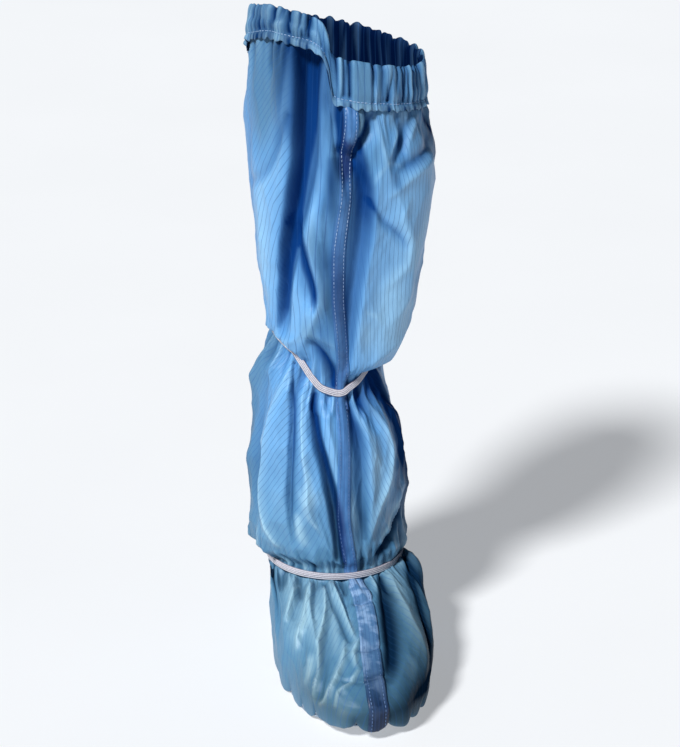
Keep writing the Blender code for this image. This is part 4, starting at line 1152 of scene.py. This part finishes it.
def flatPatch(turn):
    degrees = np.degrees(wrapTurn(turn))
    flat = smoothStep(degrees, casing["flatFrom"] - casing["flatEase"], casing["flatFrom"])
    return flat * (1 - smoothStep(degrees, casing["flatTo"], casing["flatTo"] + casing["flatEase"]))


def drawnSide(turn):
    # 1 on the side where the collar is drawn up
    degrees = -np.degrees(wrapTurn(turn))
    return smoothStep(degrees, *casing["drawnFrom"]) * (1 - smoothStep(degrees, *casing["drawnTo"]))


def ribDepth(turn, share):
    rng = np.random.default_rng(casing["ribSeed"])
    degrees = np.degrees(wrapTurn(turn))
    depth = casing["puffDepth"] * (1 + waves(turn, casing["puffSeed"], *casing["puffs"]))
    for k in range(casing["ribs"]):
        middle = (k + rng.uniform(-casing["ribJitter"], casing["ribJitter"])) * 360 / casing["ribs"] - 180
        width, deep, reach = (rng.uniform(*casing[key]) for key in ("ribWidth", "ribDepth", "ribReach"))
        lean = rng.uniform(-1, 1) * casing["ribLean"]
        start = rng.integers(0, 2)  # runs up from the stitches or down from the rim
        fade = np.clip(1 - np.abs(share - start) / reach, 0, 1) ** casing["ribFade"]
        away = (degrees - middle - lean * (share - 0.5) + 180) % 360 - 180
        rib = np.exp(-(np.abs(away * casing["mmPerDegree"] / width) ** casing["ribPower"]))
        depth = depth + deep * fade * rib
    pinch = np.exp(-np.abs(share - casing["stitchAt"]) / casing["pinchReach"])
    depth = depth + casing["pinchDepth"] * pinch * puckers(turn, casing["pinches"], casing["pinchSeed"])
    depth = depth * (1 - casing["flatShare"] * flatPatch(turn))
    for deep in casing["deepTurns"]:
        depth = depth + casing["deepDepth"] * np.exp(-(((degrees - deep) / casing["deepWidth"]) ** 2))
    return depth


def makeCasing():
    form = casing
    knots = np.array(form["path"])
    t = np.linspace(0, len(knots) - 1, form["pathSteps"])
    share, out = (np.interp(t, np.arange(len(knots)), column) for column in knots.T)
    top, hem = legForm["height"][0], clothMesh["hem"]
    heights = np.minimum(hem + (top - hem) * share, top)
    over = np.maximum(hem + (top - hem) * share - top, 0)
    ring = ringTurns(heights, form["columnsPerSide"])
    base = clothPoint(heights[:, None], ring)
    levels = np.linspace(top, hem, form["facingRows"])
    facing = gridNormals(clothPoint(levels[:, None], ringTurns(levels, form["columnsPerSide"])))
    outward = facing[form["facingRows"] // 2][None]
    depth = creaseField(base, np.broadcast_to(outward, base.shape), creases) * form["creaseShare"]
    ribs = ribDepth(ring, share[:, None])
    sewnDown = np.exp(-(((share - form["sewnAt"]) / form["sewnReach"]) ** 2))[:, None]
    ribs = ribs * (1 - sewnDown) + sewnDown * np.minimum(ribs, form["sewnCap"])
    outside = smoothStep(out, *form["outside"])[:, None]
    frill = 1 + form["frillDeeper"] * smoothStep(-share, *form["frillFrom"])[:, None]
    pull = depth + ribs * (form["insideRibs"] + (1 - form["insideRibs"]) * outside) * frill
    loose = smoothStep(-share, *form["looseFrom"])[:, None]  # the frill stays outside the cloth
    pull = pull * (1 - loose) + loose * np.minimum(pull, out[:, None] - form["frillStand"])
    middle = base + outward * (out[:, None] - pull + form["clear"])[..., None]
    ruffle = form["ruffle"] * waves(ring, form["ruffleSeed"], *form["ruffleWaves"])
    middle[..., 2] += ruffle * smoothStep(-share, *form["ruffleFrom"])[:, None]
    middle[..., 2] += over[:, None] - form["rimSag"] * ribs * smoothStep(share, *form["rimFrom"])[:, None]
    normals = gridNormals(middle[::-1])[::-1]
    half = form["wall"] / 2
    outer, inner = middle + normals * half, middle - normals * half
    across = np.broadcast_to(ringAcross(form["columnsPerSide"]) * mm, outer.shape[:2])[::-1]
    down = np.broadcast_to((heights * -mm)[:, None], outer.shape[:2])[::-1]
    cornerMap = np.stack([faceCorners(across), faceCorners(down)], axis=3).reshape(-1, 4, 2)
    # painted shade in the rib grooves, on the drawn-up side and on the inside; painted light on the puffs and
    # the frill
    plain, drawnUp = flatPatch(ring)[::-1], drawnSide(ring)[::-1]
    insideShadow = np.broadcast_to((out < 0)[::-1, None] * 1.0, ribs.shape)
    shade = (ribs[::-1] - form["shadeFrom"]) / form["shadeDepth"] + innerTones["foldShade"] * insideShadow
    shade = np.clip(shade + form["drawnShade"] * drawnUp, 0, 1)
    light = np.clip(form["lightLevel"] - ribs / form["lightDepth"], 0, form["lightMost"])[::-1] * (1 - shade)
    light *= 1 - form["flatLight"] * plain
    light = np.maximum(light, form["frillLight"] * loose[::-1])
    duskShaded = np.maximum(insideShadow, form["duskShade"] + form["flatDuskShade"] * np.maximum(plain, drawnUp))
    tones = {"foldShade": shade, "foldLight": light, "duskShade": duskShaded, "inside": insideShadow}
    made = shellMesh("collarHem", outer[::-1], inner[::-1], True, cornerMap, **tones)
    sewn = int(np.argmin(np.abs(share - form["stitchAt"]) + (out < 0)))
    return made, (outer[sewn] + normals[sewn] * form["stitchStand"]) * mm


collarHem, hemLine = makeCasing()
finishPiece(collarHem, cloth, "cloth", "collar_casing")


# Flat felled seams down the front and the back.
seam = {
    "width": 11.5, "toeWidth": 17, "toeFrom": (-0.01, 0.05), "across": 11, "lift": 0.25, "wall": 0.7,
    "edgeDrop": 0.25, "edgePower": 6, "stitchInset": 0.16, "frontEnd": -1.5, "backEnd": -1.2,
    "reachColumns": 34,
}


def seamGrid(column, end):
    rows = np.arange(hemRow, int(np.argmin(np.abs(places - end))) + 1)
    middle = seam["reachColumns"]
    picked = np.arange(column - middle, column + middle + 1) % clothGrid.shape[1]
    points, normals = clothGrid[rows][:, picked], clothNormals[rows][:, picked]
    steps = np.linalg.norm(np.diff(baseGrid[rows][:, picked], axis=1), axis=2)
    reach = np.concatenate([np.zeros((len(rows), 1)), np.cumsum(steps, axis=1)], axis=1)
    reach -= reach[:, [middle]]
    onToe = smoothStep(-places[rows], *seam["toeFrom"]) * (column == 0)
    width = seam["width"] + (seam["toeWidth"] - seam["width"]) * onToe
    offsets = np.linspace(-0.5, 0.5, seam["across"])[None] * width[:, None]
    grid = np.zeros((len(rows), seam["across"], 3))
    facing = np.zeros_like(grid)
    shade = np.zeros_like(offsets)
    for i in range(len(rows)):
        shade[i] = np.interp(offsets[i], reach[i], foldShade[rows[i], picked])
        for k in range(3):
            grid[i, :, k] = np.interp(offsets[i], reach[i], points[i, :, k])
            facing[i, :, k] = np.interp(offsets[i], reach[i], normals[i, :, k])
    facing /= np.linalg.norm(facing, axis=2)[..., None]
    return grid, facing, offsets, downLength[rows, column], shade


def makeSeam(name, column, end):
    grid, facing, offsets, down, shade = seamGrid(column, end)
    edge = np.abs(np.linspace(-1, 1, seam["across"])) ** seam["edgePower"]
    thick = seam["wall"] - seam["edgeDrop"] * edge
    inner = grid + facing * seam["lift"]
    outer = inner + facing * thick[None, :, None]
    down = np.broadcast_to(down[:, None], offsets.shape)
    cornerMap = np.stack([faceCorners(offsets * mm, False), faceCorners(down * mm, False)], axis=3)
    made = shellMesh(name, outer, inner, False, cornerMap.reshape(-1, 4, 2), foldShade=shade)
    inset = seam["across"] * seam["stitchInset"]
    lines = []
    for spot in (inset, seam["across"] - 1 - inset):
        k = int(spot)
        share = spot - k
        lines.append((outer[:, k] * (1 - share) + outer[:, k + 1] * share) * mm)
    return made, lines


seamLook = {
    "blue": (0.046, 0.160, 0.385, 1), "violet": (0.082, 0.220, 0.480, 1), "edge": (0.025, 0.065, 0.190, 1),
    "toeBlue": (0.085, 0.200, 0.380, 1), "toeVioletSheen": (0.240, 0.390, 0.610, 1),
    "toeTipShade": (0.12, 0.16, 0.22, 1), "shadeNavy": (0.06, 0.13, 0.27, 1),
    "mottle": (60, 4, 0.35, 0.65), "blotch": (75, 2, 0.42, 0.58),
    "toeHeights": (0.085, 0.07), "tipShadeHeights": (0.068, 0.032),
    "linePitch": 0.0016, "lineWidth": 0.0005, "lineStrength": 0.45, "gloss": 0.25,
    "rough": (50, 4, 0.3, 0.7, 0.38, 0.56), "bumps": [(240, 3, 0.0006, 0.6), (70, 3, 0.0010, 0.4)],
}


def seamMaterial():
    look = seamLook
    material, tree, shader = newMaterial("felledSeam")
    across, height = clothMapOn(tree)[0], heightOn(tree)
    tone = mixColour(tree, mottleOn(tree, *look["mottle"]), look["blue"], look["violet"])
    # the paler violet blotches on the toe are partly the seam's own colour and partly painted sheen
    toe = mixColour(tree, mottleOn(tree, *look["blotch"], smooth=True), look["toeBlue"], look["toeVioletSheen"])
    tone = mixColour(tree, mapRange(tree, height, *look["toeHeights"], 0, 1, True), tone, toe)
    # painted shade low on the toe
    tipShade = mapRange(tree, height, *look["tipShadeHeights"], 0, 1, True)
    tone = mixColour(tree, tipShade, tone, look["toeTipShade"], "MULTIPLY")
    # painted shade taken from the folds of the cloth beneath
    tone = mixColour(tree, attributeOn(tree, "foldShade"), tone, look["shadeNavy"], "MULTIPLY")
    gap = mathOn(tree, "PINGPONG", across, look["linePitch"])
    line = mapRange(tree, gap, 0, look["lineWidth"], look["lineStrength"], 0, True)
    setInputs(tree, shader, {
        "Base Color": mixColour(tree, line, tone, look["edge"]),
        "Roughness": mottleOn(tree, *look["rough"]),
        "Normal": bumpsOn(tree, look["bumps"]),
        "Specular IOR Level": look["gloss"],
    })
    return material


seamCloth = seamMaterial()
frontSeam, frontLines = makeSeam("frontSeam", 0, seam["frontEnd"])
backSeam, backLines = makeSeam("backSeam", clothMesh["columnsPerSide"], seam["backEnd"])
finishPiece(frontSeam, seamCloth, "seam", "front_seam")
finishPiece(backSeam, seamCloth, "seam", "back_seam")


def polyCurve(name, lines, cyclic):
    data = bpy.data.curves.new(name, "CURVE")
    data.dimensions = "3D"
    for line in lines:
        spline = data.splines.new("POLY")
        spline.points.add(len(line) - 1)
        spline.points.foreach_set("co", np.concatenate([line, np.ones((len(line), 1))], axis=1).ravel())
        spline.use_cyclic_u = cyclic
    return addObject(name, data)


def newTree(name, inputs):
    tree = bpy.data.node_groups.new(name, "GeometryNodeTree")
    tree.interface.new_socket("Geometry", in_out="INPUT", socket_type="NodeSocketGeometry")
    for label, kind in inputs.items():
        tree.interface.new_socket(label, in_out="INPUT", socket_type=kind)
    tree.interface.new_socket("Geometry", in_out="OUTPUT", socket_type="NodeSocketGeometry")
    return tree, addNode(tree, "NodeGroupInput"), addNode(tree, "NodeGroupOutput")


def grownMesh(name, source, tree, values):
    # runs the tree on the source, keeps the result as a plain mesh and removes the source
    modifier = source.modifiers.new("grow", "NODES")
    modifier.node_group = tree
    for item in tree.interface.items_tree:
        if item.in_out == "INPUT" and item.name in values:
            modifier[item.identifier] = values[item.name]
    ready = source.evaluated_get(bpy.context.evaluated_depsgraph_get())
    mesh = bpy.data.meshes.new_from_object(ready)
    bpy.data.objects.remove(source)
    return addObject(name, mesh)


stitch = {
    "Pitch": 0.0034, "Length": 0.0026, "Thickness": 0.0005, "Seed": 3,
    "segments": 6, "rings": 5, "vary": (0.85, 1.15),
}


def stitchTree():
    tree, given, result = newTree("stitchRow", {
        "Pitch": "NodeSocketFloat", "Length": "NodeSocketFloat", "Thickness": "NodeSocketFloat",
        "Seed": "NodeSocketInt", "Thread": "NodeSocketMaterial",
    })
    pitch, length, thickness = (given.outputs[key] for key in ("Pitch", "Length", "Thickness"))
    least, most = stitch["vary"]
    path = {"Curve": given.outputs["Geometry"], "Length": pitch}
    spaced = addNode(tree, "GeometryNodeResampleCurve", path, mode="LENGTH")
    form = {"Segments": stitch["segments"], "Rings": stitch["rings"], "Radius": 0.5}
    bead = addNode(tree, "GeometryNodeMeshUVSphere", form)
    size = addNode(tree, "ShaderNodeCombineXYZ", {"X": length, "Y": thickness, "Z": thickness})
    spread = {2: least, 3: most, "Seed": given.outputs["Seed"]}
    vary = addNode(tree, "FunctionNodeRandomValue", spread, data_type="FLOAT")
    factors = {0: size.outputs[0], 3: vary.outputs[1]}
    scaled = addNode(tree, "ShaderNodeVectorMath", factors, operation="SCALE")
    tangent = addNode(tree, "GeometryNodeInputTangent")
    turned = addNode(tree, "FunctionNodeAlignRotationToVector", {"Vector": tangent.outputs[0]}, axis="X")
    sewn = addNode(tree, "GeometryNodeInstanceOnPoints", {
        "Points": spaced.outputs[0],
        "Instance": bead.outputs["Mesh"],
        "Rotation": turned.outputs[0],
        "Scale": scaled.outputs[0],
    })
    real = addNode(tree, "GeometryNodeRealizeInstances", {0: sewn.outputs[0]})
    soft = addNode(tree, "GeometryNodeSetShadeSmooth", {0: real.outputs[0]})
    done = addNode(tree, "GeometryNodeSetMaterial", {0: soft.outputs[0], "Material": given.outputs["Thread"]})
    tree.links.new(done.outputs[0], result.inputs[0])
    return tree


# The thread is pale above the calf and darker below it, near the cloth's own tone.
threadLook = {
    "first": (0.22, 0.36, 0.60, 1), "second": (0.46, 0.60, 0.80, 1), "mottle": (300, 3, 0.35, 0.65),
    "low": (0.32, 0.42, 0.58, 1), "lowHeights": (0.38, 0.27),
    "bumps": [(2500, 2, 0.0002, 0.5)], "shader": {"Roughness": 0.5},
}
thread = mottledMaterial("sewingThread", threadLook)
sewing = stitchTree()
for name, lines, cyclic, slot in (
    ("frontStitches", frontLines, False, "seam"),
    ("backStitches", backLines, False, "seam"),
    ("hemStitches", [hemLine], True, "cloth"),
):
    rows = grownMesh(name, polyCurve(name + "Path", lines, cyclic), sewing, {**stitch, "Thread": thread})
    finishPiece(rows, None, slot)


# Flat braided elastics: a thin tape with raised cords along it.
elastic = {"Width": 0.0060, "Wall": 0.0009, "Cords": 4, "CordRadius": 0.00066, "cordSides": 8, "stand": 0.9}


def elasticTree():
    tree, given, result = newTree("braidedElastic", {
        "Width": "NodeSocketFloat", "Wall": "NodeSocketFloat", "Cords": "NodeSocketInt",
        "CordRadius": "NodeSocketFloat", "Tape": "NodeSocketMaterial", "Cord": "NodeSocketMaterial",
    })
    width, wall, count, radius = (given.outputs[key] for key in ("Width", "Wall", "Cords", "CordRadius"))
    upright = addNode(tree, "GeometryNodeSetCurveNormal", {0: given.outputs["Geometry"]}, mode="Z_UP")
    tape = addNode(tree, "GeometryNodeCurvePrimitiveQuadrilateral", {"Width": wall, "Height": width})
    gap = mathOn(tree, "DIVIDE", width, count)
    start = mathOn(tree, "MULTIPLY", mathOn(tree, "SUBTRACT", width, gap), -0.5)
    first = addNode(tree, "ShaderNodeCombineXYZ", {"Y": start}).outputs[0]
    step = addNode(tree, "ShaderNodeCombineXYZ", {"Y": gap}).outputs[0]
    row = addNode(tree, "GeometryNodeMeshLine", {"Count": count, "Start Location": first, "Offset": step})
    cord = {"Resolution": elastic["cordSides"], "Radius": radius}
    circle = addNode(tree, "GeometryNodeCurvePrimitiveCircle", cord)
    spots = {"Points": row.outputs[0], "Instance": circle.outputs[0]}
    cords = addNode(tree, "GeometryNodeInstanceOnPoints", spots)
    real = addNode(tree, "GeometryNodeRealizeInstances", {0: cords.outputs[0]})
    joined = addNode(tree, "GeometryNodeJoinGeometry")
    for profile, material in ((tape, given.outputs["Tape"]), (real, given.outputs["Cord"])):
        curves = {"Curve": upright.outputs[0], "Profile Curve": profile.outputs[0]}
        swept = addNode(tree, "GeometryNodeCurveToMesh", curves)
        soft = addNode(tree, "GeometryNodeSetShadeSmooth", {0: swept.outputs[0]})
        done = addNode(tree, "GeometryNodeSetMaterial", {0: soft.outputs[0], "Material": material})
        tree.links.new(done.outputs[0], joined.inputs[0])
    tree.links.new(joined.outputs[0], result.inputs[0])
    return tree


elasticLook = {
    "mottle": (900, 2, 0.4, 0.62), "bumps": [(1400, 2, 0.0003, 0.6)], "shader": {"Roughness": 0.75},
}
whiteTones = {"first": (0.62, 0.62, 0.66, 1), "second": (0.50, 0.50, 0.56, 1)}
pinkTones = {"first": (0.34, 0.29, 0.33, 1), "second": (0.24, 0.22, 0.28, 1)}
whiteCord = mottledMaterial("whiteCord", {**elasticLook, **whiteTones})
pinkTape = mottledMaterial("pinkTape", {**elasticLook, **pinkTones})
braid = elasticTree()
braidValues = {**elastic, "Tape": pinkTape, "Cord": whiteCord}
for name, row, node in (
    ("calfElastic", calfRow, "calf_elastic"),
    ("ankleElastic", ankleRow, "ankle_elastic"),
):
    path = baseGrid[row] + baseNormals[row] * elastic["stand"]
    ring = grownMesh(name, polyCurve(name + "Path", [path * mm], True), braid, braidValues)
    finishPiece(ring, None, "elastic", node)


# The sole and the felt in it keep the solids' form.
soleLook = {
    "first": (0.20, 0.27, 0.36, 1), "second": (0.30, 0.37, 0.46, 1), "mottle": (55, 5, 0.35, 0.65),
    "rough": (90, 4, 0.3, 0.7, 0.5, 0.72), "bumps": [(700, 3, 0.0004, 0.5)], "shader": {},
}
feltLook = {
    "first": (0.58, 0.63, 0.68, 1), "second": (0.72, 0.76, 0.80, 1), "mottle": (160, 5, 0.35, 0.65),
    "bumps": [(900, 4, 0.0008, 0.8)], "shader": {"Roughness": 0.9, "Sheen Weight": 0.3},
}
for node, name, look in (("outsole", "softSole", soleLook), ("insole", "paleFelt", feltLook)):
    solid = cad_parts[node]
    solid.data.materials.clear()
    solid.data.materials.append(mottledMaterial(name, look))
print("sole finished")


# Stage: a plain pale floor, one strong light from the front left, and the camera.
stage = {
    "floorSize": 8.0, "world": (0.40, 0.64, 1.0, 1), "worldStrength": 0.09,
    "keyPower": 4.3, "keyAngle": 10, "keyTurn": -40, "keyRise": 45, "keyReach": 2.0, "keyAim": (0, 0, 0.28),
}
floorLook = {
    "first": (0.56, 0.57, 0.58, 1), "second": (0.50, 0.51, 0.52, 1), "mottle": (3, 3, 0.3, 0.7, 0, 0.3),
    "shader": {"Roughness": 0.8, "Emission Color": (1, 1, 1, 1), "Emission Strength": 0.36},
}
half = stage["floorSize"] / 2
floorMesh = bpy.data.meshes.new("floor")
floorCorners = [(-half, -half, 0), (half, -half, 0), (half, half, 0), (-half, half, 0)]
floorMesh.from_pydata(floorCorners, [], [(0, 1, 2, 3)])
floorMesh.materials.append(mottledMaterial("paleFloor", floorLook))
floor = addObject("floor", floorMesh)


def lookAt(thing, place, aim):
    facing = (Vector(place) - Vector(aim)).to_track_quat("Z", "Y")
    thing.matrix_world = Matrix.Translation(place) @ facing.to_matrix().to_4x4()


def around(turn, rise, reach, aim):
    turn, rise = math.radians(turn), math.radians(rise)
    back = Vector((math.sin(turn) * math.cos(rise), -math.cos(turn) * math.cos(rise), math.sin(rise)))
    return Vector(aim) + back * reach


key = bpy.data.lights.new("key", "SUN")
key.energy = stage["keyPower"]
key.angle = math.radians(stage["keyAngle"])
keyPlace = around(stage["keyTurn"], stage["keyRise"], stage["keyReach"], stage["keyAim"])
lookAt(addObject("key", key), keyPlace, stage["keyAim"])
world = bpy.data.worlds.new("studio")
world.use_nodes = True
background = world.node_tree.nodes["Background"]
setInputs(world.node_tree, background, {"Color": stage["world"], "Strength": stage["worldStrength"]})
bpy.context.scene.world = world
bpy.context.scene.view_settings.view_transform = "Standard"

camera = {
    "turn": -5, "rise": 22, "reach": 2.4, "aim": (0, 0, 0.26), "pixelsPerMetre": 1185,
    "frame": (680, 747), "aimPixel": (334, 348), "sensor": 36,
}


def makeCamera():
    data = bpy.data.cameras.new("camera")
    data.sensor_fit = "HORIZONTAL"
    data.sensor_width = camera["sensor"]
    width, height = camera["frame"]
    data.lens = camera["pixelsPerMetre"] * camera["reach"] * camera["sensor"] / width
    made = addObject("camera", data)
    place = around(camera["turn"], camera["rise"], camera["reach"], camera["aim"])
    back = (place - Vector(camera["aim"])).normalized()
    right = Vector((math.cos(math.radians(camera["turn"])), math.sin(math.radians(camera["turn"])), 0))
    up = back.cross(right)
    slide = right * (width / 2 - camera["aimPixel"][0]) - up * (height / 2 - camera["aimPixel"][1])
    slide /= camera["pixelsPerMetre"]
    lookAt(made, place + slide, Vector(camera["aim"]) + slide)
    bpy.context.scene.camera = made


makeCamera()
print("stage set")
